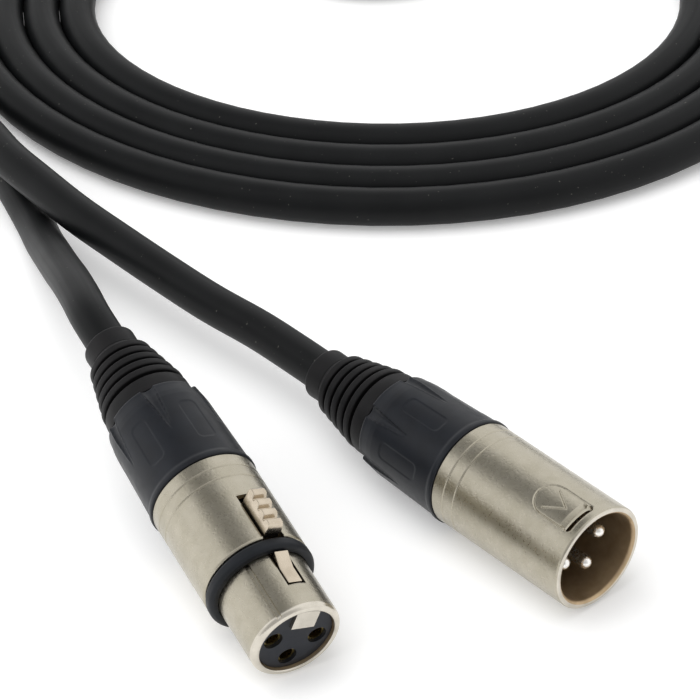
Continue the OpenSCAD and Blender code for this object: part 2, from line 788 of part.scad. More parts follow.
socket_start = on_surface(first_stub);
socket_way = turn_z(first_way, coil_turn);
plug_start = on_surface(second_stub);
plug_way = turn_z(second_way, coil_turn);
socket_tip = on_socket(socket_shell_l + boot_end);
plug_tip = on_plug(plug_shell_l + boot_end);
socket_route = concat(
  [socket_start, socket_start + cable_d * socket_way], socket_lead_route,
  [on_socket(socket_shell_l + boot_end + cable_d), socket_tip]);
plug_route = concat(
  [plug_start, plug_start + cable_d * plug_way], plug_lead_route,
  [on_plug(plug_shell_l + boot_end + cable_d), plug_tip]);
echo(length_of_coil = length_of(coil_route), length_of_socket_lead = length_of(socket_route),
     length_of_plug_lead = length_of(plug_route));

module cable_coil() {
  color("#1c1c1d") tube([for (p = coil_route) on_surface(p)], cable_d / 2, coil_sides);
}

module socket_lead() {
  color("#1c1c1d") tube(socket_route, cable_d / 2, lead_sides);
}

module plug_lead() {
  color("#1c1c1d") tube(plug_route, cable_d / 2, lead_sides);
}

plug_shell();
plug_insert();
contact_pins();
ground_spring();
plug_chuck();
plug_bushing();
plug_boot();
plug_cable_end();
plug_wires();
socket_shell();
socket_insert();
contact_sockets();
key_plate();
seal_ring();
latch_lever();
latch_pin();
latch_spring();
socket_chuck();
socket_bushing();
socket_boot();
socket_cable_end();
socket_wires();
plug_lead();
socket_lead();
cable_coil();
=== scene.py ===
# %% [markdown]
# # A microphone cable, doubled and wound flat
# The part is one length of black cable with a metal plug on one end and a latching
# metal socket on the other. Everything stands in the engineering model's frame and
# keeps its places and sizes; here each visible piece gets its final form and finish.
# Sizes are written in millimetres, as they are on a drawing, and MM turns them into
# Blender's metres.

import math

import bmesh
import bpy
import numpy as np
from mathutils import Matrix, Vector


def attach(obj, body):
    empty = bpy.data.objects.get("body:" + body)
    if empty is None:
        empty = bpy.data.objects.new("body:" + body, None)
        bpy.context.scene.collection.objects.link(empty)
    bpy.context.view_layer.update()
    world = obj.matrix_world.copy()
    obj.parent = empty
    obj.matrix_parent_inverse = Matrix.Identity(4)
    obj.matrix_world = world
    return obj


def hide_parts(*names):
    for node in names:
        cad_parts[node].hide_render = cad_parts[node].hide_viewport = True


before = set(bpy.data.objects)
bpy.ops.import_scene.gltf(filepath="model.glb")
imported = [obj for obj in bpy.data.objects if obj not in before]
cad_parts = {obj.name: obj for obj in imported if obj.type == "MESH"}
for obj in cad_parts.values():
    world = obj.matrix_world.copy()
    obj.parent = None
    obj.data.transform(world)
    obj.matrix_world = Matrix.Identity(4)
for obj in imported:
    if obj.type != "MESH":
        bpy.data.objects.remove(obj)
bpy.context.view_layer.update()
MM = 0.001

# %% [markdown]
# ## The camera
# The cable is seen from above and from the plug's side with a long lens, so that
# lines stay nearly parallel. A long lens far away keeps the proportions of a small
# object; a short lens close by would swell the plug.

# %% Place the camera
CAMERA_AT = (-321.98, -366.86, 405.78)
CAMERA_HEADING = math.radians(41.985)
CAMERA_DOWN = math.radians(36.93)
LENS_MM = 193.75

camera_data = bpy.data.cameras.new("studio_camera")
camera_data.lens = LENS_MM
camera_data.sensor_width = 36
camera_data.clip_start = 0.01
camera = bpy.data.objects.new("studio_camera", camera_data)
bpy.context.scene.collection.objects.link(camera)
camera.location = Vector(CAMERA_AT) * MM
camera.rotation_euler = (math.pi / 2 - CAMERA_DOWN, 0, -CAMERA_HEADING)
bpy.context.scene.camera = camera
print("camera", tuple(round(v, 4) for v in camera.location), "lens", LENS_MM)

# %% [markdown]
# ## Where the connectors lie
# A turned piece is easiest to draw about its own axis: rim at zero, body towards +Z,
# latch side towards +Y. One matrix per connector then lays it on the table. The
# socket leans nose down on its rim, because its cable holds the rear up.

# %% Placement of plug and socket
SOCKET_TILT = math.radians(10)
SOCKET_YAW = math.radians(14.2)
SOCKET_ROLL = math.radians(15.5)
PLUG_ROLL = math.radians(17.5)
NOSE_R = 8.0
RIM_ROUND = 1.0
# the socket rests on the round of its rim
SOCKET_Z = (NOSE_R - RIM_ROUND) * math.cos(SOCKET_TILT) + RIM_ROUND - RIM_ROUND * math.sin(SOCKET_TILT)
# the middle of each mouth
PLUG_AT = (22.7, -44.35, 9.75)
SOCKET_AT = (-25.7, -25.1, SOCKET_Z)
PLUG_SHELL_L = 29.8
SOCKET_SHELL_L = 33.9
# lengths behind the shell
BUSHING_L = 19.0
BOOT_END = 37.5


def turn(angle, axis):
    return Matrix.Rotation(angle, 4, axis)


TO_METRES = Matrix.Scale(MM, 4)
PLUG = (
    Matrix.Translation(Vector(PLUG_AT))
    @ turn(math.pi, "Z") @ turn(math.pi / 2, "X") @ turn(-PLUG_ROLL, "Z")
)
SOCKET = (
    Matrix.Translation(Vector(SOCKET_AT))
    @ turn(math.pi - SOCKET_YAW, "Z") @ turn(math.pi / 2, "X")
    @ turn(-SOCKET_TILT, "X") @ turn(SOCKET_ROLL, "Z")
)

# %% [markdown]
# ## The cable's route
# The cable is folded in half and both strands are wound side by side, so that plug
# and socket come out together. Each strand is an ellipse that grows by one cable
# width in half a turn. The fold inside the coil is a bend in and a wide bend back.

# %% Route of the wound part
CABLE_D = 7.2
# middle of the coil and its turn on the table, and the half axes of its inner ellipse
COIL_X, COIL_Y, COIL_TURN = 118.2, 116.2, math.radians(-42)
HALF_X, HALF_Y = 62.8, 52.1
STRAND_GAP = 0.05
PITCH = CABLE_D + STRAND_GAP
FOLD_R = 22.0
# angles round the coil: where a strand has its inner size, where it starts, where it leaves
FIRST_ZERO, FIRST_FROM, FIRST_LEAVES = 270, 180, 920
SECOND_ZERO, SECOND_FROM, SECOND_LEAVES = 90, 90, 900
STEP = 5


def strand(angle, zero):
    out = PITCH * (angle - zero) / 180
    a = math.radians(angle)
    return np.array([(HALF_X + out) * math.cos(a), (HALF_Y + out) * math.sin(a), CABLE_D / 2])


def bend(centre, radius, start, end, count):
    angles = np.radians(np.linspace(start, end, count + 1)[1:])
    return [np.array([centre[0] + radius * math.cos(a), centre[1] + radius * math.sin(a), CABLE_D / 2])
            for a in angles]


inner_end = strand(FIRST_FROM, FIRST_ZERO)
back_end = strand(SECOND_FROM, SECOND_ZERO)
back_c = (back_end[0], back_end[1] - FOLD_R)
# this radius lets the bend in touch both the first strand and the bend back
reach_x, reach_y = back_c[0] - inner_end[0], back_c[1] - inner_end[1]
bend_r = (reach_x**2 + reach_y**2 - FOLD_R**2) / (2 * (reach_x + FOLD_R))
bend_c = (inner_end[0] + bend_r, inner_end[1])
meet = math.degrees(math.atan2(back_c[1] - bend_c[1], back_c[0] - bend_c[0]))
wound = [strand(a, FIRST_ZERO) for a in range(FIRST_LEAVES, FIRST_FROM, -STEP)] + [inner_end]
wound += bend(bend_c, bend_r, FIRST_FROM, meet, count=24)
wound += bend(back_c, FOLD_R, 180 + meet, 360 + SECOND_FROM, count=40)[:-1]
wound += [strand(a, SECOND_ZERO) for a in range(SECOND_FROM, SECOND_LEAVES + 1, STEP)]


def unit(v):
    return v / np.linalg.norm(v)


def way_out(leaves, zero):
    """Direction in which a strand leaves the coil."""
    return unit(strand(leaves, zero) - strand(leaves - 2, zero))


first_way = way_out(FIRST_LEAVES, FIRST_ZERO)
second_way = way_out(SECOND_LEAVES, SECOND_ZERO)
wound = [wound[0] + CABLE_D * first_way] + wound + [wound[-1] + CABLE_D * second_way]


def on_table(p):
    c, s = math.cos(COIL_TURN), math.sin(COIL_TURN)
    return np.array([p[0] * c - p[1] * s + COIL_X, p[0] * s + p[1] * c + COIL_Y, p[2]])


wound = [on_table(p) for p in wound]
print("bend radius in", round(bend_r, 1), "and back", FOLD_R)

# %% [markdown]
# ## The two free ends
# Between coil and boots the cable rises from the table to the axis of each
# connector, and the plug's end crosses over the socket's. The points are listed,
# and a smooth curve runs through them.

# %% Routes of the free ends
SOCKET_LEAD = [
    (30.5, 131.5, 3.6), (26.5, 120.5, 3.6), (22, 108, 3.6), (18.5, 99, 3.8), (14.5, 91, 5.6),
    (10, 82.5, 9.2), (5, 73.5, 13.6), (0.5, 65, 17.6), (-3.5, 57, 20.3),
]
PLUG_LEAD = [
    (33, 161, 4.2), (29, 151.5, 5.6), (26.5, 142, 7.5), (25.5, 132.5, 9.5), (24, 121.5, 11),
    (21.5, 110.5, 11.5), (20.5, 100, 11.5), (20, 88, 11), (20.5, 76, 10.3), (21, 64, 9.8),
    (21.5, 52, 9.6), (22.5, 40, 9.7),
]
INSIDE_BOOT = 2.0


def through(points, fine):
    """Smooth curve through all the points, with `fine` steps between two of them."""
    p = [2 * points[0] - points[1]] + list(points) + [2 * points[-1] - points[-2]]
    out = []
    for a, b, c, d in zip(p, p[1:], p[2:], p[3:]):
        for t in np.linspace(0, 1, fine, endpoint=False):
            out.append(0.5 * (2 * b + (c - a) * t + (2 * a - 5 * b + 4 * c - d) * t**2
                              + (3 * b - a - 3 * c + d) * t**3))
    return out + [points[-1]]


def lead(start, way, middle, place, shell_l):
    ahead = [np.array(place @ Vector((0, 0, shell_l + BOOT_END + more)))
             for more in (CABLE_D, 0, -INSIDE_BOOT)]
    points = [start, start + CABLE_D * way] + [np.array(p, float) for p in middle] + ahead
    return through(points, fine=6)


socket_run = lead(wound[0], unit(wound[0] - wound[1]), SOCKET_LEAD, SOCKET, SOCKET_SHELL_L)
plug_run = lead(wound[-1], unit(wound[-1] - wound[-2]), PLUG_LEAD, PLUG, PLUG_SHELL_L)
route = np.array(socket_run[::-1] + wound[1:-1] + plug_run)

# %% [markdown]
# ## Small helpers for node trees
# Every procedural finish and every Geometry Nodes tree is a handful of nodes and
# links. One function adds a node with its settings and its links, so that a tree
# reads like a recipe.

# %% Node helper, colours and materials
def add(tree, kind, links=None, **settings):
    """Adds a node. `links` maps an input to a value or to another node's output."""
    node = tree.nodes.new(kind)
    for key, value in settings.items():
        setattr(node, key, value)
    for key, value in (links or {}).items():
        socket = node.inputs[key]
        if isinstance(value, bpy.types.NodeSocket):
            tree.links.new(value, socket)
        else:
            socket.default_value = value
    return node


def colour(hex_text):
    """sRGB hex to the linear values that shaders work in."""
    def linear(c):
        return c / 12.92 if c <= 0.04045 else ((c + 0.055) / 1.055) ** 2.4
    return (*(linear(int(hex_text[i:i + 2], 16) / 255) for i in (0, 2, 4)), 1.0)


def ramp(tree, value, stops):
    node = add(tree, "ShaderNodeValToRGB", {"Fac": value})
    node.color_ramp.elements[0].position, node.color_ramp.elements[0].color = stops[0]
    node.color_ramp.elements[1].position, node.color_ramp.elements[1].color = stops[-1]
    for position, shade in stops[1:-1]:
        node.color_ramp.elements.new(position).color = shade
    return node.outputs["Color"]


def noise(tree, size_mm, detail=2.0, roughness=0.5):
    """Noise whose grains are about `size_mm` across on the object."""
    vector = add(tree, "ShaderNodeTexCoord").outputs["Object"]
    node = add(tree, "ShaderNodeTexNoise", {
        "Vector": vector, "Scale": 1 / (size_mm * MM), "Detail": detail, "Roughness": roughness})
    return node.outputs["Fac"]


def new_material(name, metallic=0.0, ior=None, **sockets):
    material = bpy.data.materials.new(name)
    material.use_nodes = True
    tree = material.node_tree
    shader = tree.nodes["Principled BSDF"]
    shader.inputs["Metallic"].default_value = metallic
    if ior:
        shader.inputs["IOR"].default_value = ior
    for key, value in sockets.items():
        shader.inputs[key.replace("_", " ")].default_value = value
    return material, tree, shader


def spread(tree, value, low, high):
    """Maps noise, most of which lies between 0.25 and 0.75, to a range of roughness."""
    return add(tree, "ShaderNodeMapRange", {"Value": value, "From Min": 0.25, "From Max": 0.75,
                                            "To Min": low, "To Max": high}).outputs["Result"]


def bump(tree, shader, height, depth_mm, strength=1.0):
    node = add(tree, "ShaderNodeBump", {"Height": height, "Distance": depth_mm * MM,
                                        "Strength": strength})
    tree.links.new(node.outputs["Normal"], shader.inputs["Normal"])


# %% [markdown]
# ## Metal finishes
# The shells are cast zinc, bead-blasted and nickel-plated. Blasting leaves dimples of
# a few tenths of a millimetre, which break a reflection into grains where it turns
# from light to dark. Nickel is warmer than steel. The rims are turned after
# blasting, so they are smooth and bright.

# %% Nickel, plain and turned, and silver
# how far roughness varies below and above its middle
ROUGH_BELOW, ROUGH_ABOVE = 0.04, 0.05


def nickel(name, shade, light_shade, rough, dimple_mm, depth_mm):
    material, tree, shader = new_material(name, metallic=1.0)
    cloud = noise(tree, 2.5, 3)
    grain = noise(tree, dimple_mm, 2, 0.6)
    tint = ramp(tree, cloud, [(0.35, colour(shade)), (0.65, colour(light_shade))])
    tree.links.new(tint, shader.inputs["Base Color"])
    tree.links.new(spread(tree, grain, rough - ROUGH_BELOW, rough + ROUGH_ABOVE),
                   shader.inputs["Roughness"])
    bump(tree, shader, grain, depth_mm)
    return material


# Each has a darker and a lighter shade, a roughness, and a dimple width and depth. Blasted
# dimples are drawn twice their real width, because true ones are too fine to show.
blasted_nickel = nickel("blasted_nickel_plate", "A9A393", "B1AB9C", 0.29, 0.48, 0.038)
turned_nickel = nickel("turned_nickel_plate", "C2BCB0", "D0CABE", 0.2, 0.5, 0.003)
inner_nickel = nickel("bare_nickel_bore", "AE987A", "BFA98A", 0.5, 0.5, 0.006)
latch_nickel = nickel("stamped_nickel_latch", "B9AD9B", "C8BCAA", 0.24, 0.35, 0.012)
silver = nickel("silver_plated_contact", "E4E2DE", "F0EEEA", 0.26, 0.4, 0.002)
spring_steel = nickel("spring_steel_strip", "8E8C88", "A09E9A", 0.3, 0.4, 0.004)
plated_brass = nickel("plated_brass_contact", "A08C58", "B8A46C", 0.28, 0.4, 0.003)

# %% [markdown]
# ## Plastics and rubbers
# The bushing is hard moulded nylon with a slight blue cast and a fine spark-eroded
# grain. The boot and the ring are soft rubber and duller, and the boot has no blue in
# it. The jacket is extruded PVC: almost smooth, with long faint die lines and a little
# dust.

# %% Moulded plastics and rubber
def moulded(name, shade, light_shade, rough, grain_mm, depth_mm, ior=1.5, gloss=0.25):
    material, tree, shader = new_material(name, ior=ior, Specular_IOR_Level=gloss)
    cloud = noise(tree, 4, 3)
    grain = noise(tree, grain_mm, 2, 0.55)
    tint = ramp(tree, cloud, [(0.3, colour(shade)), (0.7, colour(light_shade))])
    tree.links.new(tint, shader.inputs["Base Color"])
    tree.links.new(spread(tree, noise(tree, 1.6, 3), rough - ROUGH_BELOW, rough + ROUGH_ABOVE),
                   shader.inputs["Roughness"])
    bump(tree, shader, grain, depth_mm, strength=0.6)
    return material


# two shades, a roughness, a grain width and depth, then refractive index and gloss
bushing_nylon = moulded("moulded_nylon", "101217", "15181E", 0.4, 0.22, 0.008)
boot_rubber = moulded("moulded_boot_rubber", "121213", "181718", 0.5, 0.25, 0.01, 1.52, 0.16)
ring_rubber = moulded("moulded_ring_rubber", "101317", "15181D", 0.48, 0.25, 0.006, 1.52, 0.22)
socket_face = moulded("moulded_socket_face", "181B22", "1E222A", 0.45, 0.3, 0.006)
plug_face = moulded("moulded_plug_insert", "121214", "19191B", 0.5, 0.3, 0.006)
pale_nylon = moulded("pale_moulded_nylon", "DAD6CA", "E6E2D8", 0.45, 0.3, 0.006)
wire_cover = moulded("red_wire_insulation", "A5361F", "B84428", 0.4, 0.3, 0.003)


# %% Cable jacket
# how often the die lines change per metre along the cable and per turn around it
LINES_ALONG, LINES_AROUND = 12.0, 26.0
# noise values at which a speck of dust begins and covers fully
DUST_FROM, DUST_FULL = 0.76, 0.79


def jacket_material():
    material, tree, shader = new_material("extruded_cable_jacket", ior=1.53, Specular_IOR_Level=0.15)
    along = add(tree, "ShaderNodeAttribute", attribute_name="along").outputs["Fac"]
    around = add(tree, "ShaderNodeAttribute", attribute_name="around").outputs["Fac"]
    # die lines: fine across the cable, drawn out along it
    stretched = add(tree, "ShaderNodeCombineXYZ", {
        "X": add(tree, "ShaderNodeMath", {0: along, 1: LINES_ALONG}, operation="MULTIPLY").outputs[0],
        "Y": add(tree, "ShaderNodeMath", {0: around, 1: LINES_AROUND}, operation="MULTIPLY").outputs[0]})
    lines = add(tree, "ShaderNodeTexNoise", {"Vector": stretched.outputs[0], "Scale": 1.0,
                                             "Detail": 3.0}).outputs["Fac"]
    cloud = noise(tree, 9, 3)
    tint = ramp(tree, cloud, [(0.3, colour("0C0D0E")), (0.7, colour("111213"))])
    dust = ramp(tree, noise(tree, 0.7, 1), [(DUST_FROM, (0, 0, 0, 1)), (DUST_FULL, (1, 1, 1, 1))])
    mixed = add(tree, "ShaderNodeMix", data_type="RGBA")
    tree.links.new(dust, mixed.inputs["Factor"])
    tree.links.new(tint, mixed.inputs["A"])
    mixed.inputs["B"].default_value = colour("4A4945")
    tree.links.new(mixed.outputs["Result"], shader.inputs["Base Color"])
    tree.links.new(spread(tree, lines, 0.42, 0.52), shader.inputs["Roughness"])
    fine = add(tree, "ShaderNodeMath", {0: noise(tree, 0.35, 2), 1: 0.5}, operation="MULTIPLY")
    both = add(tree, "ShaderNodeMath", {0: lines, 1: fine.outputs[0]}, operation="ADD")
    bump(tree, shader, both.outputs[0], 0.02, strength=0.35)
    return material


jacket = jacket_material()
print("materials:", len(bpy.data.materials))

# %% [markdown]
# ## Geometry Nodes, run once
# A tree is made in the script with named inputs. It runs on a throwaway object, and
# the result is read back as a plain mesh, so nothing live is left on the piece.

# %% Run a tree and keep its mesh
def new_tree(name, inputs):
    tree = bpy.data.node_groups.new(name, "GeometryNodeTree")
    tree.interface.new_socket("Geometry", in_out="INPUT", socket_type="NodeSocketGeometry")
    for label, kind in inputs:
        tree.interface.new_socket(label, in_out="INPUT", socket_type="NodeSocket" + kind)
    tree.interface.new_socket("Geometry", in_out="OUTPUT", socket_type="NodeSocketGeometry")
    return tree, tree.nodes.new("NodeGroupInput").outputs


def finish_tree(tree, geometry, material):
    real = add(tree, "GeometryNodeRealizeInstances", {"Geometry": geometry})
    painted = add(tree, "GeometryNodeSetMaterial", {"Geometry": real.outputs[0], "Material": material})
    smooth = add(tree, "GeometryNodeSetShadeSmooth", {0: painted.outputs[0]})
    add(tree, "NodeGroupOutput", {"Geometry": smooth.outputs[0]})


def link_object(name, data):
    obj = bpy.data.objects.new(name, data)
    bpy.context.scene.collection.objects.link(obj)
    return obj


def run_tree(name, tree, values, data=None):
    carrier = link_object(name + "_carrier", data or bpy.data.meshes.new(name))
    modifier = carrier.modifiers.new("shape", "NODES")
    modifier.node_group = tree
    for item in tree.interface.items_tree:
        if item.in_out == "INPUT" and item.name in values:
            modifier[item.identifier] = values[item.name]
    graph = bpy.context.evaluated_depsgraph_get()
    mesh = bpy.data.meshes.new_from_object(carrier.evaluated_get(graph), depsgraph=graph)
    carrier.modifiers.clear()
    bpy.data.objects.remove(carrier)
    mesh.name = name
    print(name, "from", tree.name, "-", len(mesh.polygons), "faces")
    return link_object(name, mesh)


def lay(obj, place):
    """Puts a piece drawn in millimetres about its own axis into its place in metres."""
    obj.data.transform(TO_METRES @ place)
    obj.data.update()
    return obj


def dress(obj, body, nodes=(), sharp=None):
    if sharp:
        obj.data.set_sharp_from_angle(angle=math.radians(sharp))
    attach(obj, body)
    if nodes:
        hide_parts(*nodes)


# %% [markdown]
# ## The cable
# A cable is a circle carried along a path. `Curve to Mesh` does just that, and it can
# hand on how far along and around the cable each point is, for the die lines. The
# path is one unbroken curve from boot to boot.

# %% Sweep the cable
def cable_tree():
    tree, given = new_tree("circle_along_path", [
        ("Radius", "Float"), ("Sides", "Int"), ("Material", "Material")])
    length = add(tree, "GeometryNodeSplineParameter")
    path = add(tree, "GeometryNodeStoreNamedAttribute", {
        "Geometry": given["Geometry"], "Name": "along", "Value": length.outputs["Length"]},
        data_type="FLOAT", domain="POINT")
    circle = add(tree, "GeometryNodeCurvePrimitiveCircle", {
        "Resolution": given["Sides"], "Radius": given["Radius"]})
    part = add(tree, "GeometryNodeSplineParameter")
    section = add(tree, "GeometryNodeStoreNamedAttribute", {
        "Geometry": circle.outputs["Curve"], "Name": "around", "Value": part.outputs["Factor"]},
        data_type="FLOAT", domain="POINT")
    swept = add(tree, "GeometryNodeCurveToMesh", {
        "Curve": path.outputs[0], "Profile Curve": section.outputs[0], "Fill Caps": True})
    finish_tree(tree, swept.outputs["Mesh"], given["Material"])
    return tree


CABLE_SIDES = 40
cable_path = bpy.data.curves.new("cable_path", "CURVE")
cable_path.dimensions = "3D"
spline = cable_path.splines.new("POLY")
spline.points.add(len(route) - 1)
for point, place in zip(spline.points, route * MM):
    point.co = (*place, 1)
cable = run_tree("cable", cable_tree(), {
    "Radius": CABLE_D / 2 * MM, "Sides": CABLE_SIDES, "Material": jacket}, cable_path)
dress(cable, "cable", ("cable_coil", "plug_lead", "socket_lead"), sharp=50)

# %% [markdown]
# ## Turned pieces with cut detail
# Shell, bushing and ring are bodies of revolution. Spinning a profile gives them, and
# because every vertex is computed, engraved lines and flutes can be pressed into the
# surface by moving vertices inwards where the detail is, with a finer grid there.

# %% Spin a profile
def arc(cx, cy, r, start, end, count=6):
    return [(cx + r * math.cos(math.radians(a)), cy + r * math.sin(math.radians(a)))
            for a in np.linspace(start, end, count + 1)]


def run(p, q, step):
    """Points from p up to q, q left out, at most `step` apart."""
    count = max(1, math.ceil(math.dist(p, q) / step))
    return [(p[0] + (q[0] - p[0]) * i / count, p[1] + (q[1] - p[1]) * i / count)
            for i in range(count)]


def angles_with(step, fine_from=0, fine_to=0, fine_step=1):
    """Angles right round, closer together between two of them."""
    fine = list(np.arange(fine_from, fine_to, fine_step)) if fine_to > fine_from else [fine_from]
    count = math.ceil((360 - (fine_to - fine_from)) / step)
    coarse = list(np.linspace(fine_to, fine_from + 360, count, endpoint=False))
    return np.array(fine + [a for a in coarse if a > fine[-1] + 1e-6])


def spin(name, profile, angles, detail=None, outside=None, material_of=None, materials=()):
    """Closed (radius, station) loop spun about Z. `detail` gives how deep each outside point is cut."""
    loop = np.array(profile, float)
    n, m = len(loop), len(angles)
    radius = np.repeat(loop[:, :1], m, axis=1)
    station = np.repeat(loop[:, 1:], m, axis=1)
    turn_to = np.radians(np.repeat(np.array(angles)[None], n, axis=0))
    if detail is not None:
        cut = detail(np.degrees(turn_to), station)
        radius = radius - np.where(outside(loop)[:, None], cut, 0)
    verts = np.stack([radius * np.cos(turn_to), radius * np.sin(turn_to), station], -1).reshape(-1, 3)
    i, j = np.meshgrid(np.arange(n), np.arange(m), indexing="ij")
    a, b = i * m + j, i * m + (j + 1) % m
    c, d = ((i + 1) % n) * m + (j + 1) % m, ((i + 1) % n) * m + j
    quads = np.stack([a, b, c, d], -1).reshape(-1, 4)
    mesh = bpy.data.meshes.new(name)
    mesh.from_pydata(verts.tolist(), [], quads.tolist())
    for material in materials:
        mesh.materials.append(material)
    if material_of is not None:
        rows = [material_of(loop[k], loop[(k + 1) % n]) for k in range(n)]
        mesh.polygons.foreach_set("material_index", np.repeat(rows, m).astype(np.int32))
    obj = link_object(name, mesh)
    tidy(obj)
    return obj


def tidy(obj):
    """Merges doubles and turns every face outwards."""
    work = bmesh.new()
    work.from_mesh(obj.data)
    bmesh.ops.remove_doubles(work, verts=work.verts, dist=0.0005)
    bmesh.ops.dissolve_degenerate(work, edges=work.edges, dist=1e-5)
    bmesh.ops.recalc_face_normals(work, faces=work.faces)
    work.to_mesh(obj.data)
    work.free()
    obj.data.shade_smooth()


# %% [markdown]
# ## Cutting and joining
# A slot goes right through the wall, so it is cut with a boolean. Small hard pieces
# are drawn as a side view and pulled out to their width, then every edge is rounded
# a little, because a perfectly sharp edge never catches the light.

# %% Prisms, cuts and rounded edges
def apply_modifiers(obj):
    graph = bpy.context.evaluated_depsgraph_get()
    mesh = bpy.data.meshes.new_from_object(obj.evaluated_get(graph), depsgraph=graph)
    old = obj.data
    obj.modifiers.clear()
    obj.data = mesh
    bpy.data.meshes.remove(old)


def prism(name, outline, low, high, axes):
    """Outline pulled out between two planes. `axes` names outline u, outline v and depth."""
    index = ["XYZ".index(a) for a in axes]
    verts = []
    for depth in (low, high):
        for u, v in outline:
            p = [0, 0, 0]
            p[index[0]], p[index[1]], p[index[2]] = u, v, depth
            verts.append(p)
    n = len(outline)
    faces = [list(range(n)), list(range(n, 2 * n))]
    faces += [[k, (k + 1) % n, n + (k + 1) % n, n + k] for k in range(n)]
    mesh = bpy.data.meshes.new(name)
    mesh.from_pydata(verts, [], faces)
    obj = link_object(name, mesh)
    work = bmesh.new()
    work.from_mesh(mesh)
    bmesh.ops.recalc_face_normals(work, faces=work.faces)
    work.to_mesh(mesh)
    work.free()
    return obj


def combine(obj, other, operation):
    modifier = obj.modifiers.new("cut", "BOOLEAN")
    modifier.operation = operation
    modifier.solver = "EXACT"
    modifier.object = other
    apply_modifiers(obj)
    bpy.data.objects.remove(other)
    return obj


def rounded(obj, width):
    modifier = obj.modifiers.new("edges", "BEVEL")
    modifier.width = width
    modifier.segments = 3
    modifier.limit_method = "ANGLE"
    modifier.angle_limit = math.radians(30)
    apply_modifiers(obj)
    obj.data.shade_smooth()
    return obj


def paint(obj, *materials):
    obj.data.materials.clear()
    for material in materials:
        obj.data.materials.append(material)
    return obj


def stadium(length, width, cx, cy):
    """Slot outline with round ends, long in u."""
    r, half = width / 2, length / 2 - width / 2
    return arc(cx + half, cy, r, -90, 90, 10) + arc(cx - half, cy, r, 90, 270, 10)


def smooth_step(x):
    x = np.clip(x, 0, 1)
    return x * x * (3 - 2 * x)


def groove(distance, half_width, depth):
    """Depth of a round-bottomed line, from the distance to its middle."""
    return depth * smooth_step(1 - np.abs(distance) / half_width)


# %% [markdown]
# ## The plug's shell
# A tube with a thin wall. Near the mouth, a slot takes the latch of the mating
# socket, and behind it a rounded panel with a plain arrowhead is engraved, so that
# a hand in the dark knows which side is up. Two fine lines are turned near the seam.

# %% Make the plug's shell
SHELL_R, REAR_BORE_R, CAVITY_R, CAVITY_L = 9.5, 8.4, 8.15, 15.5
WINDOW_W, WINDOW_L, WINDOW_FROM = 6.3, 1.5, 1.6
WINDOW_TO = WINDOW_FROM + WINDOW_L
BEVEL_L, BEVEL_DEPTH = 0.7, 0.85
MOUTH_ROUND = 0.75
PANEL_R, PANEL_TO = WINDOW_W / 2, 11.4
MARK_TIP = (0, WINDOW_TO + 1.9)
MARK_HALF, MARK_L = 2.1, 3.65
ENGRAVED_HALF, PANEL_DEPTH, MARK_DEPTH = 0.22, 0.16, 0.17
WORN_REACH, WORN_DEPTH = 0.28, 0.14
# turned lines, counted from the rear end; the grid is fine for LINE_REACH on both sides
LINES_BACK = (2.6, 5.0)
LINE_HALF, LINE_REACH = 0.2, 0.3
PLUG_LINE_DEPTH, SOCKET_LINE_DEPTH = 0.15, 0.16
REAR_EDGE = 0.2
# stations between which the plug's grid is fine enough for the panel and the mark
FINE_FROM, FINE_TO = 1.0, 11.8
FAR = 9
# cutters reach from inside the bore to outside the shell
PLUG_CUT_FROM, SOCKET_CUT_FROM, CUT_TO = 5, 2, 12
BLASTED, TURNED, BORE = range(3)
SHELL_METALS = (blasted_nickel, turned_nickel, inner_nickel)


def arc_offset(degrees, at=90):
    """Distance round the shell from a given direction, in millimetres."""
    return (((degrees - at + 180) % 360) - 180) * math.pi / 180 * SHELL_R


def segment_distance(u, v, a, b):
    ax, ay, bx, by = *a, *b
    t = np.clip(((u - ax) * (bx - ax) + (v - ay) * (by - ay)) / ((bx - ax) ** 2 + (by - ay) ** 2), 0, 1)
    return np.hypot(u - ax - t * (bx - ax), v - ay - t * (by - ay))


def plug_cut(degrees, s):
    u = arc_offset(degrees)
    side = np.abs(np.abs(u) - PANEL_R)
    back = np.abs(np.hypot(u, s - (PANEL_TO - PANEL_R)) - PANEL_R)
    outline = np.where(s < PANEL_TO - PANEL_R, side, back)
    outline = np.where(s < WINDOW_FROM + WINDOW_L * 0.5, FAR, outline)
    cut = groove(outline, ENGRAVED_HALF, PANEL_DEPTH)
    for half in (-MARK_HALF, MARK_HALF):
        end = (half, MARK_TIP[1] + MARK_L)
        cut = np.maximum(cut, groove(segment_distance(u, s, MARK_TIP, end), ENGRAVED_HALF, MARK_DEPTH))
    # slope behind the slot, on which the hook slides in
    slope = BEVEL_DEPTH * np.clip(1 - (s - WINDOW_TO) / BEVEL_L, 0, 1)
    within = smooth_step((WINDOW_W / 2 - 0.25 - np.abs(u)) / 0.15)
    cut = np.maximum(cut, np.where(s > WINDOW_TO - 0.4, slope * within, 0))
    # worn edge round the slot
    half = WINDOW_W / 2 - WINDOW_L / 2
    slot = np.hypot(np.maximum(np.abs(u) - half, 0), s - WINDOW_FROM - WINDOW_L / 2) - WINDOW_L / 2
    cut = np.maximum(cut, WORN_DEPTH * smooth_step(1 - np.clip(slot, 0, FAR) / WORN_REACH))
    return turned_lines(cut, s, PLUG_SHELL_L, PLUG_LINE_DEPTH)


def turned_lines(cut, s, shell_l, depth):
    """Adds the fine lines near a shell's rear to what is cut already."""
    for back in LINES_BACK:
        cut = np.maximum(cut, groove(s - (shell_l - back), LINE_HALF, depth))
    return cut


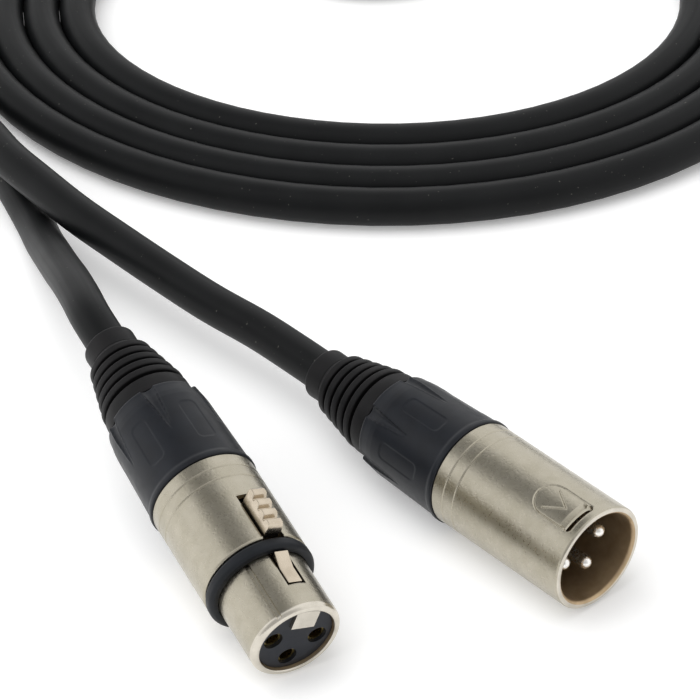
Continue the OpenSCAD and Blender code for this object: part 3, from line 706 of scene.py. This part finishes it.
def rear_end(shell_l):
    """Outside of a shell, from just before its first turned line to its rear edge."""
    first, second = (shell_l - back for back in reversed(LINES_BACK))
    out = []
    for at, after in ((first, second - LINE_REACH), (second, shell_l - LINE_REACH)):
        out += run((SHELL_R, at - LINE_REACH), (SHELL_R, at + LINE_REACH), 0.05)
        out += run((SHELL_R, at + LINE_REACH), (SHELL_R, after), 0.5)
    return out + [(SHELL_R, shell_l - REAR_EDGE), (SHELL_R - REAR_EDGE, shell_l)]


def plug_shell():
    lines_from = PLUG_SHELL_L - LINES_BACK[-1] - LINE_REACH
    profile = arc(SHELL_R - 0.5, 0.5, 0.5, -90, 0, 8)
    profile += run((SHELL_R, 0.6), (SHELL_R, FINE_FROM), 0.2)
    profile += run((SHELL_R, FINE_FROM), (SHELL_R, FINE_TO), 0.09)
    profile += run((SHELL_R, FINE_TO), (SHELL_R, lines_from), 1.2)
    profile += rear_end(PLUG_SHELL_L)
    profile += [(REAR_BORE_R, PLUG_SHELL_L), (REAR_BORE_R, CAVITY_L), (CAVITY_R, CAVITY_L)]
    profile += run((CAVITY_R, CAVITY_L - 0.1), (CAVITY_R, MOUTH_ROUND + 0.1), 1.5)
    profile += arc(CAVITY_R + MOUTH_ROUND, MOUTH_ROUND, MOUTH_ROUND, 180, 270, 8)

    def finish_of(p, q):
        # only the flat ring of the rim is bright; the round inside it is bore already
        if max(p[1], q[1]) < 0.16 and min(p[0], q[0]) > CAVITY_R + MOUTH_ROUND - 0.35:
            return TURNED
        return BORE if max(p[0], q[0]) < CAVITY_R + MOUTH_ROUND + 0.01 else BLASTED

    angles = angles_with(3, fine_from=62, fine_to=118, fine_step=0.55)
    shell = spin("plug_shell_metal", profile, angles, plug_cut,
                 lambda p: (p[:, 0] > SHELL_R - 0.01) & (p[:, 1] > 0.55), finish_of, SHELL_METALS)
    slot = prism("slot", stadium(WINDOW_W, WINDOW_L, 0, WINDOW_FROM + WINDOW_L / 2),
                 PLUG_CUT_FROM, CUT_TO, "XZY")
    combine(shell, slot, "DIFFERENCE")
    return shell


shell = lay(plug_shell(), PLUG)
dress(shell, "cable", ("plug_shell",), sharp=32)
print("plug shell:", len(shell.data.polygons), "faces")

# %% [markdown]
# The guide rib inside the mouth only lets a socket in the right way round.

# %% Guide rib
GUIDE_ANGLE = 48
GUIDE_TOP_R, GUIDE_FOOT_R, GUIDE_HALF = 7.8, 8.3, 0.25
GUIDE_FROM, GUIDE_TO = 2, CAVITY_L - 0.05
rib = rounded(prism("plug_guide_rib", [
    (GUIDE_TOP_R, -GUIDE_HALF), (GUIDE_FOOT_R, -GUIDE_HALF), (GUIDE_FOOT_R, GUIDE_HALF),
    (GUIDE_TOP_R, GUIDE_HALF)], GUIDE_FROM, GUIDE_TO, "XYZ"), 0.1)
rib.data.transform(turn(math.radians(180 - GUIDE_ANGLE), "Z"))
dress(lay(paint(rib, inner_nickel), PLUG), "cable")

# %% [markdown]
# ## The socket's shell
# In front, a nose that enters the mating plug; behind it, a thicker body with a slot
# for the push tab. The nose has a window for the hook and one guide groove. Its rim
# is turned bright.

# %% Make the socket's shell
NOSE_BORE_R, NOSE_L, RING_TO = 6.7, 12.2, 14.5
SHOULDER = RING_TO + 0.1
INSERT_STEP = RING_TO + 1.3
# half the width of the hook's window and its front end; of the tab's slot and its rear end
HOOK_WINDOW = (1.7, 5.35)
TAB_SLOT = (2.0, 24.55)
GROOVE_HALF, GROOVE_SIDE, GROOVE_DEPTH = 0.42, 0.14, 0.38
# stations between which the grid is fine, across the window's front and the slot's rear
WINDOW_FINE = (4.8, 6.0)
SLOT_FINE = (24.0, 25.1)


def slot_edge(u, s, half, low, high, depth):
    """Worn edge round an opening."""
    outside = np.hypot(np.maximum(np.abs(u) - half, 0), np.maximum(np.maximum(low - s, s - high), 0))
    return depth * smooth_step(1 - outside / 0.32)


def socket_cut(degrees, s):
    u = arc_offset(degrees)
    on_nose = s < NOSE_L + 1
    u_nose = u * NOSE_R / SHELL_R
    cut = np.where(on_nose, slot_edge(u_nose, s, HOOK_WINDOW[0], HOOK_WINDOW[1], 20, 0.12),
                   slot_edge(u, s, TAB_SLOT[0], SHOULDER, TAB_SLOT[1], 0.16))
    key = arc_offset(degrees, GUIDE_ANGLE) * NOSE_R / SHELL_R
    wall = smooth_step((GROOVE_HALF - np.abs(key)) / GROOVE_SIDE)
    cut = np.maximum(cut, np.where(on_nose, GROOVE_DEPTH * wall, 0))
    return turned_lines(cut, s, SOCKET_SHELL_L, SOCKET_LINE_DEPTH)


def socket_shell():
    lines_from = SOCKET_SHELL_L - LINES_BACK[-1] - LINE_REACH
    profile = arc(NOSE_R - RIM_ROUND, RIM_ROUND, RIM_ROUND, -90, 0, 12)
    profile += run((NOSE_R, 1.1), (NOSE_R, WINDOW_FINE[0]), 0.6)
    profile += run((NOSE_R, WINDOW_FINE[0]), (NOSE_R, WINDOW_FINE[1]), 0.1)
    profile += run((NOSE_R, WINDOW_FINE[1]), (NOSE_R, SHOULDER), 0.6) + [(NOSE_R, SHOULDER)]
    profile += [(SHELL_R - 0.7, SHOULDER)] + arc(SHELL_R - 0.5, SHOULDER + 0.5, 0.5, 270, 360, 6)
    profile += run((SHELL_R, SHOULDER + 0.6), (SHELL_R, SLOT_FINE[0]), 0.6)
    profile += run((SHELL_R, SLOT_FINE[0]), (SHELL_R, SLOT_FINE[1]), 0.08)
    profile += run((SHELL_R, SLOT_FINE[1]), (SHELL_R, lines_from), 0.8)
    profile += rear_end(SOCKET_SHELL_L)
    profile += [(REAR_BORE_R, SOCKET_SHELL_L), (REAR_BORE_R, INSERT_STEP), (NOSE_BORE_R, INSERT_STEP)]
    profile += run((NOSE_BORE_R, INSERT_STEP - 0.2), (NOSE_BORE_R, 0.4), 2)
    profile += arc(NOSE_BORE_R + 0.25, 0.25, 0.25, 180, 270, 4)

    def finish_of(p, q):
        if max(p[1], q[1]) < RIM_ROUND + 0.05:
            return TURNED
        return BORE if max(p[0], q[0]) < NOSE_BORE_R + 0.3 else BLASTED

    angles = angles_with(3, fine_from=38, fine_to=112, fine_step=0.6)
    shell = spin("socket_shell_metal", profile, angles, socket_cut,
                 lambda p: (p[:, 0] > NOSE_R - 0.15) & (p[:, 1] > 0.3)
                 & ((p[:, 0] < NOSE_R + 0.01) | (p[:, 0] > SHELL_R - 0.01)), finish_of, SHELL_METALS)
    half, low = HOOK_WINDOW
    window = prism("window", [(-half, low), (half, low), (half, RING_TO + 1), (-half, RING_TO + 1)],
                   SOCKET_CUT_FROM, CUT_TO, "XZY")
    combine(shell, window, "DIFFERENCE")
    half, high = TAB_SLOT
    slot = prism("slot", [(-half, RING_TO - 0.02), (half, RING_TO - 0.02), (half, high), (-half, high)],
                 SOCKET_CUT_FROM, CUT_TO, "XZY")
    combine(shell, slot, "DIFFERENCE")
    return shell


shell = lay(socket_shell(), SOCKET)
dress(shell, "cable", ("socket_shell",), sharp=32)
print("socket shell:", len(shell.data.polygons), "faces")

# %% [markdown]
# ## Seal ring
# A soft ring behind the nose takes up rattle between the two connectors.

# %% Make the seal ring
RING_R, RING_ROUND = 9.55, 0.8
ring_profile = (arc(RING_R - RING_ROUND, NOSE_L + RING_ROUND, RING_ROUND, -90, 0, 8)
                + arc(RING_R - RING_ROUND, RING_TO - RING_ROUND, RING_ROUND, 0, 90, 8)
                + arc(NOSE_R + 0.25, RING_TO - 0.2, 0.2, 90, 180, 3)
                + arc(NOSE_R + 0.25, NOSE_L + 0.2, 0.2, 180, 270, 3))
ring = spin("seal_ring_rubber", ring_profile, angles_with(3))
dress(lay(paint(ring, ring_rubber), SOCKET), "cable", ("seal_ring",),
      sharp=40)

# %% [markdown]
# ## Latch
# The lever is one casting: a hook that snaps into the slot of the mating plug, an
# arm under the ring, and a tab with four flat-topped ridges, each higher than the one
# in front of it. The tab's side view is one outline; cutting it with a tapered section
# narrows it at the top.

# %% Arm, hook and tab
ARM_LOW, ARM_TOP = 6.1, NOSE_R - 0.6
HOOK_HALF, HOOK_TOP, HOOK_FRONT_Y = 1.3, NOSE_R + 0.85, NOSE_R - 0.25
HOOK_TO = NOSE_L - 0.4
RAMP_FROM = HOOK_TO - 2.75
HOOK_FROM = RAMP_FROM - 3.2
TAB_FROM, TAB_L, TAB_HALF, TAB_DRAFT = RING_TO + 0.65, 7.9, 1.6, 0.35
TAB_TO, TAB_TOP, RIDGES = TAB_FROM + TAB_L, SHELL_R + 2.9, 4
FIRST_CREST, FIRST_FOOT = TAB_TOP - 0.8, TAB_TOP - 1.8
VALLEY = 0.75
PIVOT_Y, PIVOT_Z, EYE_R, EYE_HALF = 6.2, SOCKET_SHELL_L - 7.3, 1.3, 2.2
EYE_BORE_R = 0.68


def ridge_line():
    """Four bars with flat tops, each higher than the one before, and a valley between two."""
    pitch = TAB_L / (RIDGES - 0.15)
    out = [(TAB_FROM, FIRST_FOOT)]
    for i in range(RIDGES):
        z, crest = TAB_FROM + i * pitch, FIRST_CREST + i / (RIDGES - 1) * (TAB_TOP - FIRST_CREST)
        out += [(z + 0.1 * pitch, crest - 0.15), (z + 0.2 * pitch, crest), (z + 0.6 * pitch, crest)]
        if i < RIDGES - 1:
            out += [(z + 0.74 * pitch, crest - 0.3), (z + 0.8 * pitch, crest - VALLEY),
                    (z + 0.98 * pitch, crest - VALLEY)]
    return out


arm = rounded(prism("latch_arm", [
    (HOOK_FROM, ARM_LOW), (HOOK_FROM, HOOK_FRONT_Y), (RAMP_FROM, HOOK_FRONT_Y),
    (HOOK_TO, HOOK_TOP), (HOOK_TO, ARM_TOP), (PIVOT_Z, ARM_TOP), (PIVOT_Z, ARM_LOW)],
    -HOOK_HALF, HOOK_HALF, "ZYX"), 0.13)
tab = prism("latch_tab", [(TAB_FROM, ARM_LOW + 0.2)] + ridge_line()
            + [(TAB_TO, TAB_TOP - 0.4), (TAB_TO, ARM_LOW + 0.2)], -TAB_HALF, TAB_HALF, "ZYX")
top_half = TAB_HALF - TAB_DRAFT
section = prism("section", [
    (-TAB_HALF - 0.01, 5), (TAB_HALF + 0.01, 5), (TAB_HALF + 0.01, SHELL_R), (top_half, TAB_TOP + 0.1),
    (-top_half, TAB_TOP + 0.1), (-TAB_HALF - 0.01, SHELL_R)], TAB_FROM - 1, TAB_TO + 1, "XYZ")
tab = rounded(combine(tab, section, "INTERSECT"), 0.15)
eye = prism("latch_eye", arc(PIVOT_Z, PIVOT_Y, EYE_R, 0, 345, 23), -EYE_HALF, EYE_HALF, "ZYX")
combine(arm, eye, "UNION")
hole = prism("hole", arc(PIVOT_Z, PIVOT_Y, EYE_BORE_R, 0, 345, 23), -5, 5, "ZYX")
combine(arm, hole, "DIFFERENCE")


def join(name, *parts):
    """One piece from several closed shells."""
    work = bmesh.new()
    for part in parts:
        work.from_mesh(part.data)
        bpy.data.objects.remove(part)
    mesh = bpy.data.meshes.new(name)
    work.to_mesh(mesh)
    work.free()
    mesh.shade_smooth()
    return link_object(name, mesh)


lever = join("latch_lever_metal", arm, tab)
dress(lay(paint(lever, latch_nickel), SOCKET), "latch", ("latch_lever",),
      sharp=35)
print("latch lever:", len(lever.data.polygons), "faces")

# %% [markdown]
# ## Contacts
# Three round pins stand on a circle, at three of its four quarter points; the fourth,
# on the latch's side, stays empty. A circle of four points with one left out places them.

# %% Pins on their circle
def contact_tree():
    tree, given = new_tree("three_on_circle", [
        ("Contact", "Object"), ("Circle Radius", "Float"), ("Left Out", "Int"),
        ("Material", "Material")])
    circle = add(tree, "GeometryNodeMeshCircle", {"Vertices": 4, "Radius": given["Circle Radius"]})
    index = add(tree, "GeometryNodeInputIndex")
    wanted = add(tree, "FunctionNodeCompare", {2: index.outputs[0], 3: given["Left Out"]},
                 data_type="INT", operation="NOT_EQUAL")
    shape = add(tree, "GeometryNodeObjectInfo", {"Object": given["Contact"]})
    placed = add(tree, "GeometryNodeInstanceOnPoints", {
        "Points": circle.outputs["Mesh"], "Selection": wanted.outputs[0],
        "Instance": shape.outputs["Geometry"]})
    finish_tree(tree, placed.outputs["Instances"], given["Material"])
    return tree


PIN_R, PIN_FROM, CONTACT_R = 1.2, 3.0, 4.13
LATCH_SIDE = 1
PIN_SHOULDER, CUP_R, CUPS_TO = 14.85, 1.4, PLUG_SHELL_L - 5.8
pin_profile = [(0.0, PIN_FROM)] + arc(0, PIN_FROM + PIN_R, PIN_R, -82, 0, 10)
pin_profile += [(PIN_R, PIN_SHOULDER), (CUP_R, PIN_SHOULDER), (CUP_R, CUPS_TO), (0.0, CUPS_TO)]
pin = spin("pin", pin_profile, angles_with(10))
pins = run_tree("plug_pins", contact_tree(), {
    "Contact": pin, "Circle Radius": CONTACT_R, "Left Out": LATCH_SIDE, "Material": silver})
bpy.data.objects.remove(pin)
dress(lay(pins, PLUG), "cable", ("contact_pins",), sharp=40)

# %% [markdown]
# ## Bushing
# The bushing screws into the shell and is tightened by hand. Six flutes that open
# towards the cable give grip, with a faint pad between each two. All are pressed in
# by the same rule, repeated every sixth of a turn.

# %% Make both bushings
BUSHING_R, BUSHING_END_R, FIT_R, BUSHING_BORE_R = 9.75, 8.55, 8.3, 7.1
FIT_L, SMOOTH_BAND = 3.5, 1.2
FLUTES = 6
FLUTE_L, FLUTE_DEPTH = 10.5, 0.75
# radii at which the widths of flutes and pads are measured
FLUTE_AT_R, PAD_AT_R = 9.2, 9.3
# half the width of a flute where it starts, and what it gains to the end
FLUTE_HALF, FLUTE_GAIN = 0.12, 1.15
LIP_H, LIP_HALF = 0.05, 0.14
# both ends of a pad, half its inner width, how far its edge lies outside that, its depth
PAD_FROM, PAD_TO, PAD_HALF, PAD_ROUND, PAD_DEPTH = 5.6, 12.5, 0.6, 1.15, 0.08


def bushing_cut(degrees, s):
    share = 360 // FLUTES
    near = ((degrees + share / 2) % share) - share / 2
    u = near * math.pi / 180 * FLUTE_AT_R
    t = np.clip((s - (BUSHING_L - FLUTE_L)) / FLUTE_L, 0, 1)
    half = FLUTE_HALF + FLUTE_GAIN * t
    cut = FLUTE_DEPTH * t**0.9 * np.sqrt(np.clip(1 - (u / half) ** 2, 0, 1))
    # slight lip along the flute
    lip = LIP_H * np.exp(-(((np.abs(u) - half - LIP_HALF) / LIP_HALF) ** 2)) * smooth_step(t * 4)
    between = ((degrees % share) - share / 2) * math.pi / 180 * PAD_AT_R
    outside = np.hypot(np.maximum(np.abs(between) - PAD_HALF, 0),
                       np.maximum(np.maximum(PAD_FROM - s, s - PAD_TO), 0))
    pad = PAD_DEPTH * smooth_step((PAD_ROUND - outside) / 0.3)
    return np.where(s > SMOOTH_BAND, cut - lip + pad, 0)


def bushing(name, place, shell_l):
    mid_r, back_r = BUSHING_R - 0.25, BUSHING_R - 0.7
    profile = [(BUSHING_BORE_R, -FIT_L), (FIT_R, -FIT_L), (FIT_R, 0.0), (BUSHING_R - 0.35, 0.02)]
    profile += arc(BUSHING_R - 0.3, 0.32, 0.3, -90, 0, 5)
    profile += [(BUSHING_R, 0.8), (mid_r + 0.12, 1.15), (mid_r, 1.5)]
    profile += run((mid_r, 1.7), (back_r, BUSHING_L - 3.4), 0.2)
    profile += run((back_r, BUSHING_L - 3.4), (back_r - 0.12, BUSHING_L - 2.3), 0.15)
    profile += run((back_r - 0.12, BUSHING_L - 2.3), (BUSHING_END_R + 0.15, BUSHING_L - 0.8), 0.12)
    profile += arc(BUSHING_END_R - 0.35, BUSHING_L - 0.5, 0.5, 0, 90, 5)
    profile += [(BUSHING_BORE_R, BUSHING_L)]
    piece = spin(name, profile, angles_with(0.8), bushing_cut,
                 lambda p: (p[:, 1] > SMOOTH_BAND) & (p[:, 0] > BUSHING_BORE_R + 0.5))
    piece.data.transform(Matrix.Translation((0, 0, shell_l)))
    return lay(paint(piece, bushing_nylon), place)


dress(bushing("plug_bushing_nylon", PLUG, PLUG_SHELL_L), "cable",
      ("plug_bushing",), sharp=30)
dress(bushing("socket_bushing_nylon", SOCKET, SOCKET_SHELL_L), "cable",
      ("socket_bushing",), sharp=30)

# %% [markdown]
# ## Boot
# The boot keeps the cable from kinking where it leaves. Its ribs are rings that get
# smaller towards the tip, so that it grows softer. Geometry Nodes place one ring per
# rib and scale it by its number.

# %% Ribs of the boot
def rib_tree():
    tree, given = new_tree("shrinking_ribs", [
        ("Rib", "Object"), ("Count", "Int"), ("Pitch", "Float"), ("First Scale", "Float"),
        ("Last Scale", "Float"), ("Material", "Material")])
    offset = add(tree, "ShaderNodeCombineXYZ", {"Z": given["Pitch"]})
    line = add(tree, "GeometryNodeMeshLine", {"Count": given["Count"], "Offset": offset.outputs[0]})
    index = add(tree, "GeometryNodeInputIndex")
    last = add(tree, "ShaderNodeMath", {0: given["Count"], 1: 1.0}, operation="SUBTRACT")
    size = add(tree, "ShaderNodeMapRange", {
        "Value": index.outputs[0], "From Min": 0.0, "From Max": last.outputs[0],
        "To Min": given["First Scale"], "To Max": given["Last Scale"]})
    scale = add(tree, "ShaderNodeCombineXYZ", {
        "X": size.outputs["Result"], "Y": size.outputs["Result"], "Z": 1.0})
    shape = add(tree, "GeometryNodeObjectInfo", {"Object": given["Rib"]})
    row = add(tree, "GeometryNodeInstanceOnPoints", {
        "Points": line.outputs["Mesh"], "Instance": shape.outputs["Geometry"],
        "Scale": scale.outputs[0]})
    finish_tree(tree, row.outputs["Instances"], given["Material"])
    return tree


RIBS = 5
BAND_L, COLLAR_L = 3.0, 4.0
RIB_FROM, RIB_TO = BUSHING_L + BAND_L, BOOT_END - COLLAR_L
GROOVE_L = 0.85
rib_l = (RIB_TO - RIB_FROM - (RIBS + 1) * GROOVE_L) / RIBS
FIRST_RIB_R, LAST_RIB_R, CORE_DROP = 7.7, 5.8, 1.05
RIB_ROUND = 0.32
ribs_tree = rib_tree()


def boot(name, place, shell_l):
    bore, band_r, tip_r = 3.75, 7.9, 4.65
    core = [(bore, BUSHING_L - 4.5), (7.0, BUSHING_L - 4.5), (7.0, BUSHING_L)]
    core += [(band_r - 0.2, BUSHING_L)] + arc(band_r - 0.15, BUSHING_L + 0.15, 0.15, -90, 0, 3)
    core += arc(band_r - 0.25, RIB_FROM - 0.2, 0.2, 0, 90, 4)
    core += [(FIRST_RIB_R - CORE_DROP, RIB_FROM + 0.1), (LAST_RIB_R - CORE_DROP, RIB_TO - 0.2)]
    core += arc(tip_r - 0.05, RIB_TO + 0.3, 0.05, 180, 90, 1)
    core += arc(tip_r - 0.6, BOOT_END - 0.6, 0.6, 0, 90, 6) + [(bore, BOOT_END)]
    body = spin(name, core, angles_with(2.5))
    rib_w = FIRST_RIB_R - CORE_DROP - 0.3
    section = arc(FIRST_RIB_R - RIB_ROUND, RIB_ROUND, RIB_ROUND, -90, 0, 5)
    section += arc(FIRST_RIB_R - RIB_ROUND, rib_l - RIB_ROUND, RIB_ROUND, 0, 90, 5)
    section += [(rib_w, rib_l), (rib_w, 0)]
    ring = spin("rib", section, angles_with(2.5))
    ring.data.transform(Matrix.Translation((0, 0, RIB_FROM + GROOVE_L)))
    ribs = run_tree("ribs", ribs_tree, {
        "Rib": ring, "Count": RIBS, "Pitch": rib_l + GROOVE_L, "First Scale": 1.0,
        "Last Scale": LAST_RIB_R / FIRST_RIB_R, "Material": boot_rubber})
    bpy.data.objects.remove(ring)
    piece = join(name, body, ribs)
    piece.data.transform(Matrix.Translation((0, 0, shell_l)))
    return lay(paint(piece, boot_rubber), place)


dress(boot("plug_boot_rubber", PLUG, PLUG_SHELL_L), "cable", ("plug_boot",), sharp=40)
dress(boot("socket_boot_rubber", SOCKET, SOCKET_SHELL_L), "cable",
      ("socket_boot",), sharp=40)

# %% [markdown]
# ## Pieces that stay as engineered
# Inserts, chucks, springs and wires are inside, or show only a face. Their exact
# solids stay, with the right finish.

# %% Finishes for the inner pieces
INNER_FINISH = {
    "plug_insert": plug_face, "socket_insert": socket_face, "contact_sockets": plated_brass,
    "key_plate": turned_nickel, "ground_spring": spring_steel, "latch_spring": spring_steel,
    "latch_pin": spring_steel, "plug_chuck": pale_nylon, "socket_chuck": pale_nylon,
    "plug_cable_end": jacket, "socket_cable_end": jacket, "plug_wires": wire_cover,
    "socket_wires": wire_cover,
}
for node, material in INNER_FINISH.items():
    paint(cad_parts[node], material)
print("finished as engineered:", len(INNER_FINISH))

# %% [markdown]
# ## Studio
# A white floor, a large soft light from above and a smaller one from the side. The
# world is white. Its reflection has two darker patches, one in front and one overhead,
# which metal shows as the soft dark streaks that tell the eye it is metal.

# %% Floor
FLOOR_HALF, FLOOR_Z = 3.0, -0.0002
FLOOR_GLOW = 0.25


def floor_material():
    material, tree, shader = new_material("white_studio_floor")
    shader.inputs["Base Color"].default_value = colour("F4F4F4")
    shader.inputs["Roughness"].default_value = 0.9
    shader.inputs["Specular IOR Level"].default_value = 0.0
    path = add(tree, "ShaderNodeLightPath")
    seen = add(tree, "ShaderNodeMath", {0: path.outputs["Is Camera Ray"],
                                        1: path.outputs["Is Glossy Ray"]}, operation="MAXIMUM")
    seen = add(tree, "ShaderNodeMath", {0: seen.outputs[0],
                                        1: path.outputs["Is Transmission Ray"]}, operation="MAXIMUM")
    lift = add(tree, "ShaderNodeMath", {0: seen.outputs[0], 1: FLOOR_GLOW}, operation="MULTIPLY")
    glow = add(tree, "ShaderNodeEmission", {"Color": (1, 1, 1, 1), "Strength": lift.outputs[0]})
    both = add(tree, "ShaderNodeAddShader", {0: shader.outputs[0], 1: glow.outputs[0]})
    tree.links.new(both.outputs[0], tree.nodes["Material Output"].inputs["Surface"])
    return material


floor_mesh = bpy.data.meshes.new("studio_floor")
floor_mesh.from_pydata([(x * FLOOR_HALF, y * FLOOR_HALF, FLOOR_Z)
                        for x, y in ((-1, -1), (1, -1), (1, 1), (-1, 1))], [], [(0, 1, 2, 3)])
floor_mesh.materials.append(floor_material())
floor = link_object("studio_floor", floor_mesh)


# %% Lamps and world
def softbox(name, at, aim, size, watts):
    data = bpy.data.lights.new(name, "AREA")
    data.shape = "RECTANGLE"
    data.size, data.size_y = size
    data.energy = watts
    lamp = link_object(name, data)
    lamp.location = at
    lamp.rotation_euler = (Vector(aim) - Vector(at)).to_track_quat("-Z", "Y").to_euler()
    lamp.visible_glossy = False


MIDDLE = (0.01, -0.01, 0.01)
FILL_LIGHT = 0.55
softbox("softbox_above", (-0.15, 0.25, 0.85), MIDDLE, size=(0.9, 0.9), watts=5.0)
softbox("softbox_left", (-0.75, 0.15, 0.45), MIDDLE, size=(0.5, 0.7), watts=2.2)

world = bpy.data.worlds.new("white_room")
bpy.context.scene.world = world
world.use_nodes = True
sky = world.node_tree
sky.nodes.clear()
direction = add(sky, "ShaderNodeTexCoord").outputs["Generated"]


def dark_patch(towards, outer, inner, bright, dark):
    """Strength that fades from `bright` to `dark` between two angles from a direction."""
    facing = add(sky, "ShaderNodeVectorMath", {0: direction, 1: Vector(towards).normalized()},
                 operation="DOT_PRODUCT")
    return add(sky, "ShaderNodeMapRange", {
        "Value": facing.outputs["Value"], "From Min": math.cos(math.radians(outer)),
        "From Max": math.cos(math.radians(inner)), "To Min": bright, "To Max": dark},
        interpolation_type="SMOOTHSTEP").outputs["Result"]


in_front = dark_patch((-0.62, -0.62, 0.35), outer=63, inner=26, bright=1.0, dark=0.5)
overhead = dark_patch((-0.12, 0.47, 0.87), outer=34, inner=6, bright=1.2, dark=0.3)
patches = add(sky, "ShaderNodeMath", {0: in_front, 1: overhead}, operation="MULTIPLY")
light_path = add(sky, "ShaderNodeLightPath")
plain = add(sky, "ShaderNodeBackground", {"Color": (1, 1, 1, 1), "Strength": FILL_LIGHT})
mirrored = add(sky, "ShaderNodeBackground", {"Color": (1, 1, 1, 1), "Strength": patches.outputs[0]})
shown = add(sky, "ShaderNodeBackground", {"Color": (1, 1, 1, 1), "Strength": 1.0})
first = add(sky, "ShaderNodeMixShader", {0: light_path.outputs["Is Glossy Ray"],
                                         1: plain.outputs[0], 2: mirrored.outputs[0]})
second = add(sky, "ShaderNodeMixShader", {0: light_path.outputs["Is Camera Ray"],
                                          1: first.outputs[0], 2: shown.outputs[0]})
add(sky, "ShaderNodeOutputWorld", {"Surface": second.outputs[0]})
bpy.context.scene.view_settings.view_transform = "Standard"
